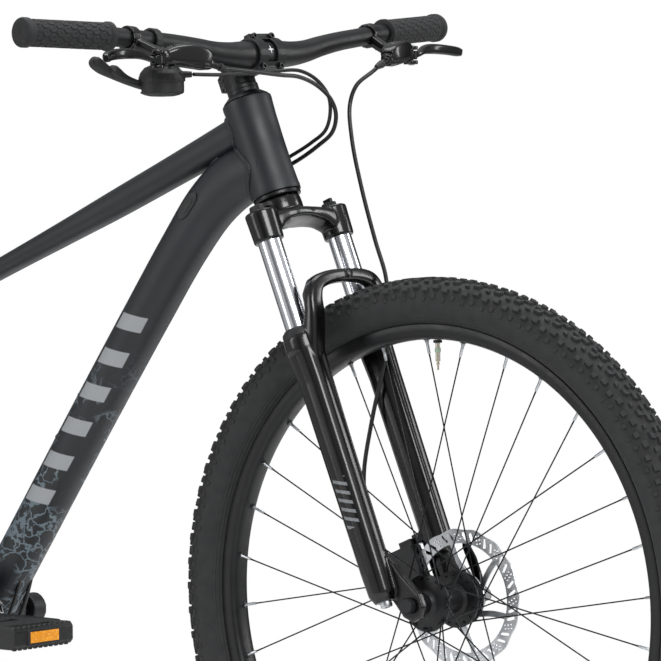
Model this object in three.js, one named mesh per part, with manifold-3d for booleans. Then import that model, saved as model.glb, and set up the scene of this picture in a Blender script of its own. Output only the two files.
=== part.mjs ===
// A hardtail mountain bike with 29 inch wheels, a coil suspension fork, hydraulic discs and a 1x9 drivetrain.
// Millimetres. +X is forward, +Y is the rider's left, +Z is up. The origin is on the ground, midway between
// the wheels. The cranks are level, the fork is at full length and the bars point straight ahead.
import * as THREE from "three";
import { mergeVertices } from "three/addons/utils/BufferGeometryUtils.js";
import Module from "manifold-3d";

const wasm = await Module();
wasm.setup();

// Driving dimensions.
const gap = 0.3; // between pieces that touch
const wheelRadius = 371; // 29 x 2.35 tyre
const wheelbase = 1146;
const steerAngle = 67.7; // degrees from the ground
const forkOffset = 48;
const headTube = { low: 517.7, high: 635.7, radius: 29.3, bore: 20 }; // heights along the steering axis
const steererRadius = 14.3;
const stanchion = { radius: 14, spread: 63.75, forward: 19.4, low: 165, high: 488 };
const forkTravel = 100;
const bottomBracketX = -132;
const bottomBracketZ = 313;
const seatAngle = 73;
const seatTube = { length: 450, radius: 18.5, bore: 16.1 };
const seatPostRadius = 15.8;
const saddleHeight = 620; // along the seat tube, from the bottom bracket to the post's top
const crankLength = 175;
const chainLineY = -50.45;
const chainPitch = 12.7;
const chainringTeeth = 32;
const chainCogTeeth = 18; // the cog that the chain is on
const pulleyTeeth = 11;
const frontHubHalf = 50; // 100 mm between the fork's dropouts
const rearHubHalf = 67.5; // 135 mm between the frame's dropouts
const rotorRadius = 80;
const spokesPerSide = 16;
const hoseRadius = 2.5;

const frontAxle = new THREE.Vector3(wheelbase / 2, 0, wheelRadius);
const rearAxle = new THREE.Vector3(-wheelbase / 2, 0, wheelRadius);
const bottomBracket = new THREE.Vector3(bottomBracketX, 0, bottomBracketZ);

const colours = {
  frame: { color: 0x2b2d30, roughness: 0.55, metalness: 0.3 },
  gloss: { color: 0x0c0d0f, roughness: 0.18, metalness: 0.2 },
  chrome: { color: 0xd8dade, roughness: 0.08, metalness: 1 },
  steel: { color: 0xa9adb2, roughness: 0.35, metalness: 1 },
  darkMetal: { color: 0x1b1c1e, roughness: 0.45, metalness: 0.8 },
  plastic: { color: 0x16171a, roughness: 0.5, metalness: 0 },
  rubber: { color: 0x1c1d1f, roughness: 0.85, metalness: 0 },
  tyre: { color: 0x27282a, roughness: 0.9, metalness: 0 },
  spoke: { color: 0x2a2b2d, roughness: 0.35, metalness: 0.9 },
  saddle: { color: 0x17181a, roughness: 0.7, metalness: 0 },
};

const bike = new THREE.Group();
const v = (x, y, z) => new THREE.Vector3(x, y, z);
const radians = THREE.MathUtils.degToRad;

// ---- Solids ----

// Turns a closed three.js geometry into a solid with its faces pointing out.
function solid(geometry) {
  const bare = geometry.index ? geometry.toNonIndexed() : geometry.clone();
  bare.deleteAttribute("normal");
  bare.deleteAttribute("uv");
  const merged = mergeVertices(bare, 1e-4);
  const points = merged.attributes.position.array;
  const triangles = [];
  let volume = 0;
  const a = v(0, 0, 0);
  const b = v(0, 0, 0);
  const c = v(0, 0, 0);
  for (let i = 0; i < merged.index.count; i += 3) {
    const [p, q, r] = merged.index.array.slice(i, i + 3);
    if (p === q || q === r || r === p) continue;
    triangles.push(p, q, r);
    volume += a.fromArray(points, 3 * p).dot(b.fromArray(points, 3 * q).cross(c.fromArray(points, 3 * r)));
  }
  if (volume < 0) triangles.reverse();
  const mesh = new wasm.Mesh({ numProp: 3, vertProperties: points, triVerts: new Uint32Array(triangles) });
  return new wasm.Manifold(mesh);
}

const join = (...solids) => solids.reduce((whole, next) => whole.add(next));
const cut = (whole, ...tools) => tools.reduce((rest, tool) => rest.subtract(tool), whole);

// Adds one sub-part to the bike.
function addPart(name, shape, colour) {
  const mesh = shape.asOriginal().simplify(0.12).getMesh();
  const geometry = new THREE.BufferGeometry();
  const positions = new Float32Array(mesh.numVert * 3);
  for (let i = 0; i < mesh.numVert; i += 1) {
    for (let k = 0; k < 3; k += 1) positions[3 * i + k] = mesh.vertProperties[mesh.numProp * i + k];
  }
  geometry.setAttribute("position", new THREE.BufferAttribute(positions, 3));
  geometry.setIndex(Array.from(mesh.triVerts));
  geometry.computeVertexNormals();
  const part = new THREE.Mesh(geometry, new THREE.MeshStandardMaterial(colours[colour]));
  part.name = name;
  bike.add(part);
}

// A rotation that takes +Y to a direction.
const alongY = (direction) => new THREE.Quaternion().setFromUnitVectors(v(0, 1, 0), direction.clone().normalize());

// A round rod between two points, which may taper.
function rod(from, to, radius, sides = 16, endRadius = radius) {
  const run = to.clone().sub(from);
  const geometry = new THREE.CylinderGeometry(endRadius, radius, run.length(), sides);
  geometry.applyQuaternion(alongY(run));
  const middle = from.clone().add(to).multiplyScalar(0.5);
  return solid(geometry.translate(middle.x, middle.y, middle.z));
}

// A box with its own axes: the size runs along first, second and their cross product.
function block(centre, size, first = v(1, 0, 0), second = v(0, 1, 0)) {
  const third = first.clone().cross(second).normalize();
  const across = third.clone().cross(first).normalize();
  const geometry = new THREE.BoxGeometry(...size);
  const basis = new THREE.Matrix4().makeBasis(first.clone().normalize(), across, third);
  geometry.applyMatrix4(basis.setPosition(centre));
  return solid(geometry);
}

// A turned solid: the profile is [radius, height] pairs along an axis through a point.
function turned(profile, at, axis, sides = 24) {
  const geometry = new THREE.LatheGeometry(profile.map(([r, h]) => new THREE.Vector2(r, h)), sides);
  geometry.applyQuaternion(alongY(axis)).translate(at.x, at.y, at.z);
  return solid(geometry);
}

// A turned solid about a wheel's axle, with no twist, so that a corner of the polygon points straight down.
function wheelRing(profile, centre, sides) {
  const geometry = new THREE.LatheGeometry(profile.map(([r, y]) => new THREE.Vector2(r, y)), sides);
  return solid(geometry.translate(centre.x, centre.y, centre.z));
}

// A skin over a row of rings with the same number of points, capped at both ends or closed on itself.
function loft(rings, closed = false) {
  const positions = [];
  const push = (...points) => points.forEach((p) => positions.push(p.x, p.y, p.z));
  const count = rings[0].length;
  const spans = closed ? rings.length : rings.length - 1;
  for (let i = 0; i < spans; i += 1) {
    const near = rings[i];
    const far = rings[(i + 1) % rings.length];
    for (let j = 0; j < count; j += 1) {
      const k = (j + 1) % count;
      push(near[j], near[k], far[k], near[j], far[k], far[j]);
    }
  }
  if (!closed) {
    const last = rings[rings.length - 1];
    for (let j = 1; j < count - 1; j += 1) {
      push(rings[0][0], rings[0][j + 1], rings[0][j]);
      push(last[0], last[j], last[j + 1]);
    }
  }
  const geometry = new THREE.BufferGeometry();
  geometry.setAttribute("position", new THREE.Float32BufferAttribute(positions, 3));
  return solid(geometry);
}

// A ring of points on a rounded oblong. A power of 2 is an ellipse, and more is squarer.
function ovalRing(centre, across, up, halfAcross, halfUp, power = 2, count = 16) {
  return Array.from({ length: count }, (_, i) => {
    const turn = (2 * Math.PI * i) / count;
    const c = Math.cos(turn);
    const s = Math.sin(turn);
    const x = halfAcross * Math.sign(c) * Math.abs(c) ** (2 / power);
    const z = halfUp * Math.sign(s) * Math.abs(s) ** (2 / power);
    return centre.clone().addScaledVector(across, x).addScaledVector(up, z);
  });
}

// A tube whose sections are square to its path. Each station is { at, wide, high }: half sizes across and up.
function shapedTube(stations, { power = 2, count = 16, grow = 0, guide = v(0, 1, 0) } = {}) {
  const rings = stations.map((station, i) => {
    const before = stations[Math.max(i - 1, 0)].at;
    const after = stations[Math.min(i + 1, stations.length - 1)].at;
    const run = after.clone().sub(before).normalize();
    const up = run.clone().cross(guide).normalize();
    const across = up.clone().cross(run).normalize();
    return ovalRing(station.at, across, up, station.wide + grow, station.high + grow, power, count);
  });
  return loft(rings);
}

// A cable or hose of one thickness along a smooth route.
function cord(route, radius, steps) {
  const circle = new THREE.Shape();
  circle.absarc(0, 0, radius, 0, 2 * Math.PI);
  const path = new THREE.CatmullRomCurve3(route, false, "centripetal");
  const options = { steps, extrudePath: path, curveSegments: 4 };
  return solid(new THREE.ExtrudeGeometry(circle, options));
}

// An outline of [x, z] points extruded along +Y between two heights.
function plate(outline, lowY, highY, holes = []) {
  const toShape = (points, Kind) => new Kind(points.map(([x, z]) => new THREE.Vector2(x, z)));
  const shape = toShape(outline, THREE.Shape);
  shape.holes = holes.map((hole) => toShape(hole, THREE.Path));
  const geometry = new THREE.ExtrudeGeometry(shape, { depth: highY - lowY, bevelEnabled: false });
  geometry.rotateX(Math.PI / 2).translate(0, highY, 0);
  return solid(geometry);
}

const arcPoints = (x, z, radius, from, to, steps) =>
  Array.from({ length: steps + 1 }, (_, i) => {
    const turn = radians(from + ((to - from) * i) / steps);
    return [x + radius * Math.cos(turn), z + radius * Math.sin(turn)];
  });

const mirrored = (points) => points.map((p) => v(p.x, -p.y, p.z));
const acrossBike = v(0, 1, 0);

// ---- Steering frame: up the steering axis, forward of it, and to the left ----

const steerUp = v(-Math.cos(radians(steerAngle)), 0, Math.sin(radians(steerAngle)));
const steerForward = v(Math.sin(radians(steerAngle)), 0, Math.cos(radians(steerAngle)));
const steerFoot = frontAxle.clone().addScaledVector(steerForward, -forkOffset);
const onSteer = (up, forward = 0, left = 0) =>
  steerFoot.clone().addScaledVector(steerUp, up).addScaledVector(steerForward, forward).add(v(0, left, 0));

const seatUp = v(-Math.cos(radians(seatAngle)), 0, Math.sin(radians(seatAngle)));
const onSeatTube = (up) => bottomBracket.clone().addScaledVector(seatUp, up);

// ---- Hoses and cables: the routes that the frame makes room for ----

const routes = {
  frontBrake: [
    [373, 143.8, 981], [370, 132, 973], [359, 117, 958], [354, 110, 935], [364, 101, 894], [389, 88, 836],
    [421, 72, 778], [448, 58, 735], [459, 47, 699], [461, 41, 653], [440, 40, 571], [426, 42, 512],
    [424, 45, 480], [428.5, 48, 447], [437, 50, 418], [449.5, 50, 400], [463, 50, 393], [473, 50, 391.6],
  ],
  rearBrake: [
    [373, -143.8, 981], [373, -95, 977], [376, -45, 972], [377, -10, 969], [378, 22, 958], [381, 42, 942],
    [380, 52, 924], [371, 56, 904], [351, 54, 888], [322, 47, 869], [285, 41, 853], [250, 35, 838],
    [226, 26, 823], [205, 12, 796], [150, 8, 713], [30, 8, 545], [-40, 9, 440], [-62, 9, 392],
    [-74, 10, 350], [-90, 11, 314], [-110, 12, 291], [-140, 15, 284], [-175, 26, 292], [-205, 36, 302],
    [-245, 46, 308], [-330, 54, 320], [-400, 60, 330], [-428, 74, 342], [-445, 77, 362], [-461, 68, 384],
  ],
  shift: [
    [334.4, -148.8, 974], [338, -105, 973], [344, -60, 974], [348, -20, 976], [359, 12, 976], [368, 32, 965],
    [375, 44, 947], [373, 50, 927], [363, 53, 906], [345, 50, 892], [321, 43, 877], [284, 36, 859],
    [246, 29, 842], [220, 20, 824], [198, 4, 792], [142, -2, 708], [22, -6, 540], [-44, -9, 436],
    [-63, -9, 391], [-74, -10, 350], [-90, -11, 314], [-110, -12, 291], [-140, -15, 284], [-175, -26, 292],
    [-205, -36, 302], [-245, -46, 308], [-330, -54, 320], [-440, -62, 335], [-490, -71, 334], [-525, -81, 328],
    [-546, -84, 325],
  ],
};
const routePoints = (name) => routes[name].map(([x, y, z]) => v(x, y, z));

// ---- Frame ----

function headTubeTool(grow) {
  return rod(onSteer(headTube.low - 60), onSteer(headTube.high + 60), headTube.radius + grow, 24);
}

function makeHeadTube() {
  const { low, high, radius, bore } = headTube;
  const profile = [[bore, low], [radius, low], [radius, high], [bore, high], [bore, low]];
  addPart("head_tube", turned(profile, onSteer(0), steerUp), "frame");
}

function topTube(grow = 0) {
  const stations = [
    [-243, 677, 17, 11], [-107, 735.3, 17, 11.9], [0, 781, 17.5, 14.3], [84.5, 817.6, 18, 16.8],
    [170, 855.5, 19, 18], [240, 887, 21, 19], [299, 914, 23, 20],
  ].map(([x, z, wide, high]) => ({ at: v(x, 0, z), wide, high }));
  return shapedTube(stations, { power: 2.3, grow });
}

function downTube(grow = 0) {
  const stations = [
    [-120, 330, 27, 27], [-60, 416, 27.2, 27.2], [40, 559.6, 27.5, 27.5], [130, 686, 28, 28],
    [190, 768, 28, 29], [234, 820, 28, 32], [274, 850, 28, 34], [325, 868, 28, 33],
  ].map(([x, z, wide, high]) => ({ at: v(x, 0, z), wide, high }));
  return shapedTube(stations, { power: 2.15, count: 14, grow });
}

const shellRadius = 21;
const shellHalf = 36.5;
const shellTool = (grow) =>
  rod(bottomBracket.clone().setY(-shellHalf - 10), bottomBracket.clone().setY(shellHalf + 10), shellRadius + grow, 24);
const seatTubeTool = (grow) => rod(onSeatTube(0), onSeatTube(seatTube.length + 20), seatTube.radius + grow, 20);

// The two bottle cage bosses stand on the down tube's upper side.
const bottleBosses = [[10, 517.5], [47, 569.5]].map(([x, z]) => v(x, 0, z));
const downTubeSquare = v(-0.8137, 0, 0.5812); // square to the down tube, towards the rider
const bossReach = 30;

function makeMainTubes() {
  addPart("top_tube", cut(topTube(), headTubeTool(gap), seatTubeTool(gap)), "frame");

  const bosses = bottleBosses.map((at) => {
    const base = at.clone().addScaledVector(downTubeSquare, 22);
    return rod(base, at.clone().addScaledVector(downTubeSquare, bossReach), 5, 12);
  });
  const cableDoor = rod(v(268, 49, 857), v(210, 9, 806), 11, 12);
  const cableExit = block(v(-70, 0, 356), [34, 34, 60]);
  const shell = cut(join(downTube(), ...bosses), downTube(-3), cableDoor, cableExit);
  const tube = cut(shell, headTubeTool(gap), topTube(gap), shellTool(gap), seatTubeTool(gap));
  const largest = tube.decompose().reduce((a, b) => (a.volume() > b.volume() ? a : b));
  addPart("down_tube", largest, "frame");

  const shellBore = rod(v(bottomBracketX, -60, bottomBracketZ), v(bottomBracketX, 60, bottomBracketZ), 9.5, 16);
  const shellEnds = [-shellHalf, shellHalf].map((y) => bottomBracket.clone().setY(y));
  const bracket = rod(...shellEnds, shellRadius, 24);
  const collar = rod(onSeatTube(seatTube.length - 18), onSeatTube(seatTube.length), seatTube.radius + 3.2, 20);
  const clampEar = block(onSeatTube(seatTube.length - 9).add(v(-22, 0, -7)), [12, 14, 12], seatUp, acrossBike);
  const tubeBore = rod(onSeatTube(150), onSeatTube(seatTube.length + 5), seatTube.bore, 20);
  const upright = rod(onSeatTube(0), onSeatTube(seatTube.length), seatTube.radius, 20);
  addPart("seat_tube", cut(join(upright, bracket, collar, clampEar), tubeBore, shellBore), "frame");
}

// One chain stay with its dropout. side is 1 on the left and -1 on the right.
function chainStay(side, grow = 0) {
  const path = [
    [-148, 24, 313, 8, 12], [-175, 30, 315, 8, 12], [-205, 37, 318, 8.2, 11], [-245, 46, 322, 8.6, 10.5],
    [-330, 54, 334, 8.6, 10], [-450, 62.5, 350, 8.2, 9.5], [-520, 69, 361, 6, 9.5], [-560, 71.4, 368, 3.6, 10],
  ].map(([x, y, z, wide, high]) => ({ at: v(x, side * y, z), wide, high }));
  const inner = side * (rearHubHalf + gap);
  const outer = side * (rearHubHalf + 7.5);
  const [lowY, highY] = [Math.min(inner, outer) - grow, Math.max(inner, outer) + grow];
  const disc = rod(rearAxle.clone().setY(lowY), rearAxle.clone().setY(highY), 16 + grow, 20);
  const parts = [shapedTube(path, { count: 12, grow }), disc];
  if (side < 0) {
    const hanger = [[-566, 360], [-576, 336], [-590, 334], [-594, 346], [-584, 362]];
    parts.push(plate(hanger, lowY, highY));
  }
  return join(...parts);
}

const axleRod = (centre, half, radius) => rod(centre.clone().setY(-half), centre.clone().setY(half), radius, 16);

function makeStays() {
  for (const [word, side] of [["left", 1], ["right", -1]]) {
    const axleHole = axleRod(rearAxle, 100, 6.9);
    const stay = cut(chainStay(side), shellTool(gap), seatTubeTool(gap), downTube(gap), axleHole);
    const rideable = stay.decompose().reduce((a, b) => (a.volume() > b.volume() ? a : b));
    addPart(`chain_stay_${word}`, rideable, "frame");

    const fromAxle = [[438, 17], [405, 24], [380, 34], [355, 42], [320, 47], [200, 60], [110, 69], [36, 71.4], [14, 71.4]];
    const stations = fromAxle.map(([reach, y], i) => {
      const slope = radians(42.6);
      const at = rearAxle.clone().add(v(reach * Math.cos(slope), side * y, reach * Math.sin(slope) + 6));
      const flat = i > 6;
      return { at, wide: flat ? 3.4 : 7.5, high: flat ? 7 : 7.5 };
    });
    const upper = shapedTube(stations, { count: 10 });
    const tools = [chainStay(side, gap), seatTubeTool(gap), topTube(gap), axleHole];
    if (side < 0) tools.push(block(v(-300, 50, 640), [400, 99.4, 400]));
    else tools.push(block(v(-300, -50, 640), [400, 99.4, 400]));
    const rest = cut(upper, ...tools);
    const kept = rest.decompose().reduce((a, b) => (a.volume() > b.volume() ? a : b));
    addPart(`seat_stay_${word}`, kept, "frame");
  }
}

// ---- Seat ----

const seatPostTop = onSeatTube(saddleHeight);

function makeSeat() {
  const post = rod(onSeatTube(260), seatPostTop, seatPostRadius, 20);
  const cradle = block(seatPostTop.clone().add(v(0, 0, 2)), [52, 38, 14]);
  const clampPlate = block(seatPostTop.clone().add(v(0, 0, 13.5)), [46, 56, 11]);
  const railZ = seatPostTop.z + 14;
  const railTunnels = [-22, 22].map((y) => rod(v(-450, y, railZ), v(-200, y, railZ), 4.1, 10));
  addPart("seat_post", cut(join(post, cradle, clampPlate), ...railTunnels), "darkMetal");

  const half = [
    [-432, 34, railZ + 9], [-400, 27, railZ + 6], [-375, 22, railZ], [-345, 22, railZ], [-315, 22, railZ],
    [-285, 22, railZ], [-260, 22, railZ], [-228, 17, railZ + 6], [-205, 8, railZ + 12],
  ].map(([x, y, z]) => v(x, y, z));
  const hairpin = [...half, v(-201, 0, railZ + 12.4), ...mirrored(half).reverse()];
  addPart("saddle_rails", cord(hairpin, 3.5, 32), "steel");

  const base = railZ + 16.5;
  const outline = [
    [-178, 10, 10], [-184, 19, 18], [-215, 23, 25], [-260, 30, 29], [-305, 46, 31], [-350, 64, 34],
    [-400, 72, 37], [-435, 68, 37], [-452, 50, 30],
  ];
  const rings = outline.map(([x, wide, tall]) => {
    const section = [
      [-wide * 0.82, 0], [-wide, tall * 0.28], [-wide * 0.93, tall * 0.72], [-wide * 0.5, tall * 0.98], [0, tall],
      [wide * 0.5, tall * 0.98], [wide * 0.93, tall * 0.72], [wide, tall * 0.28], [wide * 0.82, 0],
    ];
    return section.map(([y, z]) => v(x, y, base + z));
  });
  addPart("saddle", loft(rings), "saddle");
}

// ---- Fork ----

const legAt = (up, side, forward = stanchion.forward) => onSteer(up, forward, side * stanchion.spread);
const frontFace = (outline, fromForward, toForward) => {
  // A front-view outline of [left, up] points, extruded forward.
  const shape = new THREE.Shape(outline.map(([left, up]) => new THREE.Vector2(left, up)));
  const geometry = new THREE.ExtrudeGeometry(shape, { depth: toForward - fromForward, bevelEnabled: false });
  const basis = new THREE.Matrix4().makeBasis(acrossBike, steerUp, steerForward.clone().negate());
  basis.setPosition(onSteer(0, toForward));
  return solid(geometry.applyMatrix4(basis));
};

function makeForkUpper() {
  const arch = [
    [0, 500], [24, 497], [44, 491], [66, 490.5], [70, 484], [70, 470], [56, 464], [46, 468], [34, 475], [16, 480],
  ];
  const outline = [...arch, ...arch.slice(1).reverse().map(([left, up]) => [-left, up])];
  const bosses = [1, -1].map((side) => rod(legAt(454, side), legAt(491, side), 17.3, 20, 19));
  const bores = [1, -1].map((side) => rod(legAt(440, side), legAt(stanchion.high + gap, side), stanchion.radius + gap, 20));
  const hub = rod(onSteer(480), onSteer(509), 25, 24, 26);
  const race = rod(onSteer(508.5), onSteer(516.5), 27.5, 24, 24);
  const steerer = rod(onSteer(482), onSteer(688), steererRadius, 16);
  const crown = cut(join(frontFace(outline, 2, 35), ...bosses, hub, race, steerer), ...bores);
  addPart("fork_crown", crown, "gloss");

  for (const [word, side] of [["left", 1], ["right", -1]]) {
    const tube = rod(legAt(stanchion.low, side), legAt(stanchion.high, side), stanchion.radius, 20);
    addPart(`stanchion_${word}`, tube, "chrome");
  }

  const knobBase = 491 + gap;
  const dial = rod(legAt(knobBase, 1), legAt(knobBase + 6, 1), 8.5, 16, 7.5);
  addPart("preload_knob", join(dial, block(legAt(knobBase + 8, 1), [6, 5, 11], steerUp, acrossBike)), "plastic");
  const cap = rod(legAt(knobBase, -1), legAt(knobBase + 7, -1), 12, 16, 11);
  const tab = block(legAt(knobBase + 3.5, -1, stanchion.forward + 13), [5, 8, 10], steerUp, acrossBike);
  addPart("lockout_lever", join(cap, tab), "plastic");
}

function makeForkLowers() {
  const parts = [];
  const tools = [];
  for (const side of [1, -1]) {
    const stations = [
      [342, 19.4, 17, 17], [336, 19.4, 20.5, 21], [318, 19.6, 19.5, 20.5], [280, 20.5, 17.5, 19], [150, 20, 16.8, 18.4],
      [50, 19.6, 16.8, 17.6], [24, 19.4, 16.2, 16.6], [18, 19.4, 13, 13.5],
    ].map(([up, forward, wide, high]) => ({ at: legAt(up, side, forward), wide, high }));
    parts.push(shapedTube(stations, { count: 14, power: 2.2 }));
    const ridge = [
      [330, 34, 7, 9], [290, 34, 6, 8], [200, 33, 5.5, 7], [70, 31, 5.5, 7.5],
    ].map(([up, forward, wide, high]) => ({ at: onSteer(up, forward, side * 58), wide, high }));
    parts.push(shapedTube(ridge, { count: 8 }));
    // The dropout's web runs from the leg's foot forward to the axle.
    const web = [
      [78, 30], [52, 44], [36, 50], [17, 60], [8, 65], [-8, 65], [-18, 56], [-19, 44], [-10, 34], [14, 26], [22, 16], [60, 20],
    ].map(([up, forward]) => onSteer(up, forward)).map((p) => [p.x, p.z]);
    const faces = [side * (frontHubHalf + gap), side * 60].sort((a, b) => a - b);
    parts.push(plate(web, ...faces));
    tools.push(rod(legAt(50, side), legAt(420, side), stanchion.radius + gap, 20));
  }
  const brace = [
    [316, 31, -62.5, 8, 10], [338, 38.5, -62.5, 7.5, 8.5], [353, 45, -62, 7, 6], [378, 46, -60, 7, 5.5],
    [391, 48, -50, 6.5, 6], [395, 52, -30, 6, 7], [395, 56, 0, 6, 8],
  ];
  const otherSide = brace.slice(0, -1).reverse().map(([up, forward, left, wide, high]) => [up, forward, -left, wide, high]);
  const braceRings = [...brace, ...otherSide].map(([up, forward, left, thick, deep], i, all) => {
    const place = ([u, f, l]) => onSteer(u, f, l);
    const run = place(all[Math.min(i + 1, all.length - 1)]).sub(place(all[Math.max(i - 1, 0)])).normalize();
    const across = run.clone().cross(steerForward).normalize();
    return ovalRing(onSteer(up, forward, left), across, across.clone().cross(run), thick, deep, 3.2, 12);
  });
  parts.push(loft(braceRings));
  tools.push(axleRod(frontAxle, 80, 4.9));
  const brakeTabs = [30, 88].map((up) => block(onSteer(up, 0, 57), [12, 14, 12], steerUp, acrossBike));
  addPart("fork_lowers", cut(join(...parts, ...brakeTabs), ...tools), "gloss");
}

function makeFrontAxle() {
  const face = 60 + gap;
  const camFace = 66;
  const skewer = axleRod(frontAxle, camFace, 4.5);
  const nut = rod(frontAxle.clone().setY(-face), frontAxle.clone().setY(-68), 9.5, 16, 8);
  const cam = rod(frontAxle.clone().setY(face), frontAxle.clone().setY(camFace), 9.5, 16);
  addPart("front_axle", join(skewer, nut, cam), "darkMetal");

  const leverDirection = v(-0.33, 0, 0.944);
  const eye = frontAxle.clone().setY(camFace + gap + 8.2);
  const arm = [[0, 0, 7, 7], [12, 1, 6, 7], [26, 1.5, 3, 7], [44, 0, 2.4, 7.5], [60, -4, 2, 6], [66, -5, 1.6, 3]];
  const stations = arm.map(([reach, out, wide, high]) => ({
    at: eye.clone().addScaledVector(leverDirection, reach).add(v(0, out, 0)),
    wide,
    high,
  }));
  const camAxis = leverDirection.clone().cross(acrossBike).normalize();
  const camRoll = rod(eye.clone().addScaledVector(camAxis, -8), eye.clone().addScaledVector(camAxis, 8), 8, 16);
  addPart("front_qr_lever", join(camRoll, shapedTube(stations, { count: 8, power: 2.6 })), "darkMetal");
}

// ---- Cockpit ----

const barClamp = onSteer(677, 42);
const barRadius = { clamp: 15.9, grip: 11.1 };
// Half of the bar, from the clamp out to its left end: forward, left, up and radius.
const barShape = [
  [0, 0, 0, 15.9], [0, 32, 0, 15.9], [-0.6, 55, 0.4, 14.6], [-2.3, 82, 3, 13.2], [-4.8, 112, 8.3, 12.2],
  [-7.8, 150, 13.8, 11.4], [-11.3, 195, 18.3, 11.1], [-16.3, 248, 23.1, 11.1], [-33.5, 364, 28.4, 11.1],
].map(([x, y, z, radius]) => ({ at: barClamp.clone().add(v(x, y, z)), wide: radius, high: radius }));
const gripInner = barShape[barShape.length - 2].at;
const gripOuter = barShape[barShape.length - 1].at;
const gripLine = gripOuter.clone().sub(gripInner).normalize();
const flipY = (point, side) => v(point.x, side * point.y, point.z);

// The bar's centre line at a distance out from the middle, on the left.
function barAt(out) {
  const next = barShape.findIndex(({ at }) => at.y >= out);
  const [a, b] = [barShape[next - 1].at, barShape[next].at];
  return a.clone().lerp(b, (out - a.y) / (b.y - a.y));
}

// A clamp band round the bar, and the tool that clears its bore.
function barBand(out, side, half, radius) {
  const ends = [out - half, out + half].map((y) => flipY(barAt(y), side));
  const run = ends[1].clone().sub(ends[0]).normalize();
  const tool = rod(ends[0].clone().addScaledVector(run, -12), ends[1].clone().addScaledVector(run, 12), 11.9, 16);
  return { band: rod(...ends, radius, 16), tool };
}

function makeCockpit() {
  const stationsLeft = barShape.slice(1);
  const stationsRight = stationsLeft.map((s) => ({ ...s, at: flipY(s.at, -1) })).reverse();
  addPart("handlebar", shapedTube([...stationsRight, ...stationsLeft], { guide: steerForward }), "darkMetal");

  for (const [word, side] of [["left", 1], ["right", -1]]) {
    const profile = [
      [barRadius.grip + gap, 0], [17, 0], [17, 5], [15.2, 7], [15.2, 118], [17.2, 121], [17.2, 127],
      [15.6, 129.8], [0, 129.8], [0, 124.3], [barRadius.grip + gap, 124.3], [barRadius.grip + gap, 0],
    ];
    addPart(`grip_${word}`, turned(profile, flipY(gripInner, side), flipY(gripLine, side), 16), "rubber");
  }

  // Stem: a clamp on the steerer with a pinch lug behind it, and half a clamp for the bar.
  const cover = rod(onSteer(636.1), onSteer(643), 28.6, 24, 20.5);
  const spacer = rod(onSteer(642.5), onSteer(653), 18.4, 24);
  const steererClamp = rod(onSteer(652.8), onSteer(693), 18, 20);
  const topCap = rod(onSteer(692.8), onSteer(696.5), 16, 20, 14.5);
  const lug = block(onSteer(664, -19), [18, 18, 12], steerUp, acrossBike);
  const neck = block(onSteer(676, 22), [28, 36, 30], steerUp, acrossBike);
  const barSeat = rod(barClamp.clone().setY(-24), barClamp.clone().setY(24), 20, 20);
  const behindSplit = block(onSteer(677, -8), [80, 80, 99.6], steerUp, acrossBike);
  const steererBore = rod(onSteer(600), onSteer(690), steererRadius + gap, 16);
  const barBore = rod(barClamp.clone().setY(-40), barClamp.clone().setY(40), barRadius.clamp + gap, 20);
  const rear = join(neck, barSeat).intersect(behindSplit);
  addPart("stem", cut(join(cover, spacer, steererClamp, topCap, lug, rear), steererBore, barBore), "darkMetal");

  const aheadOfSplit = block(onSteer(677, 67.2), [80, 80, 50], steerUp, acrossBike);
  const upperEars = block(onSteer(696, 46.6), [8, 44, 9], steerUp, acrossBike);
  const lowerEars = block(onSteer(658, 46.6), [8, 44, 9], steerUp, acrossBike);
  const window = block(onSteer(677, 64), [28, 16, 24], steerUp, acrossBike);
  const cap = join(barSeat, upperEars, lowerEars).intersect(aheadOfSplit);
  addPart("stem_faceplate", cut(cap, barBore, window), "darkMetal");
}

// ---- Brake levers and shifter ----

// The left lever's own places; the right one is its mirror image.
const lever = {
  clampOut: 217,
  pivot: v(351, 231, 992),
  master: [v(349, 226, 993), v(360, 196, 995), v(366, 172, 989), v(369, 160, 986)],
  blade: [
    [351, 231, 992, 7, 5], [350, 246, 994, 4.5, 4.5], [346, 262, 996.5, 4.5, 4.8], [343, 285, 996.5, 4, 5.6],
    [347, 306, 995, 4, 5.8], [355, 322, 993, 3.6, 5.2],
  ],
};

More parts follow.
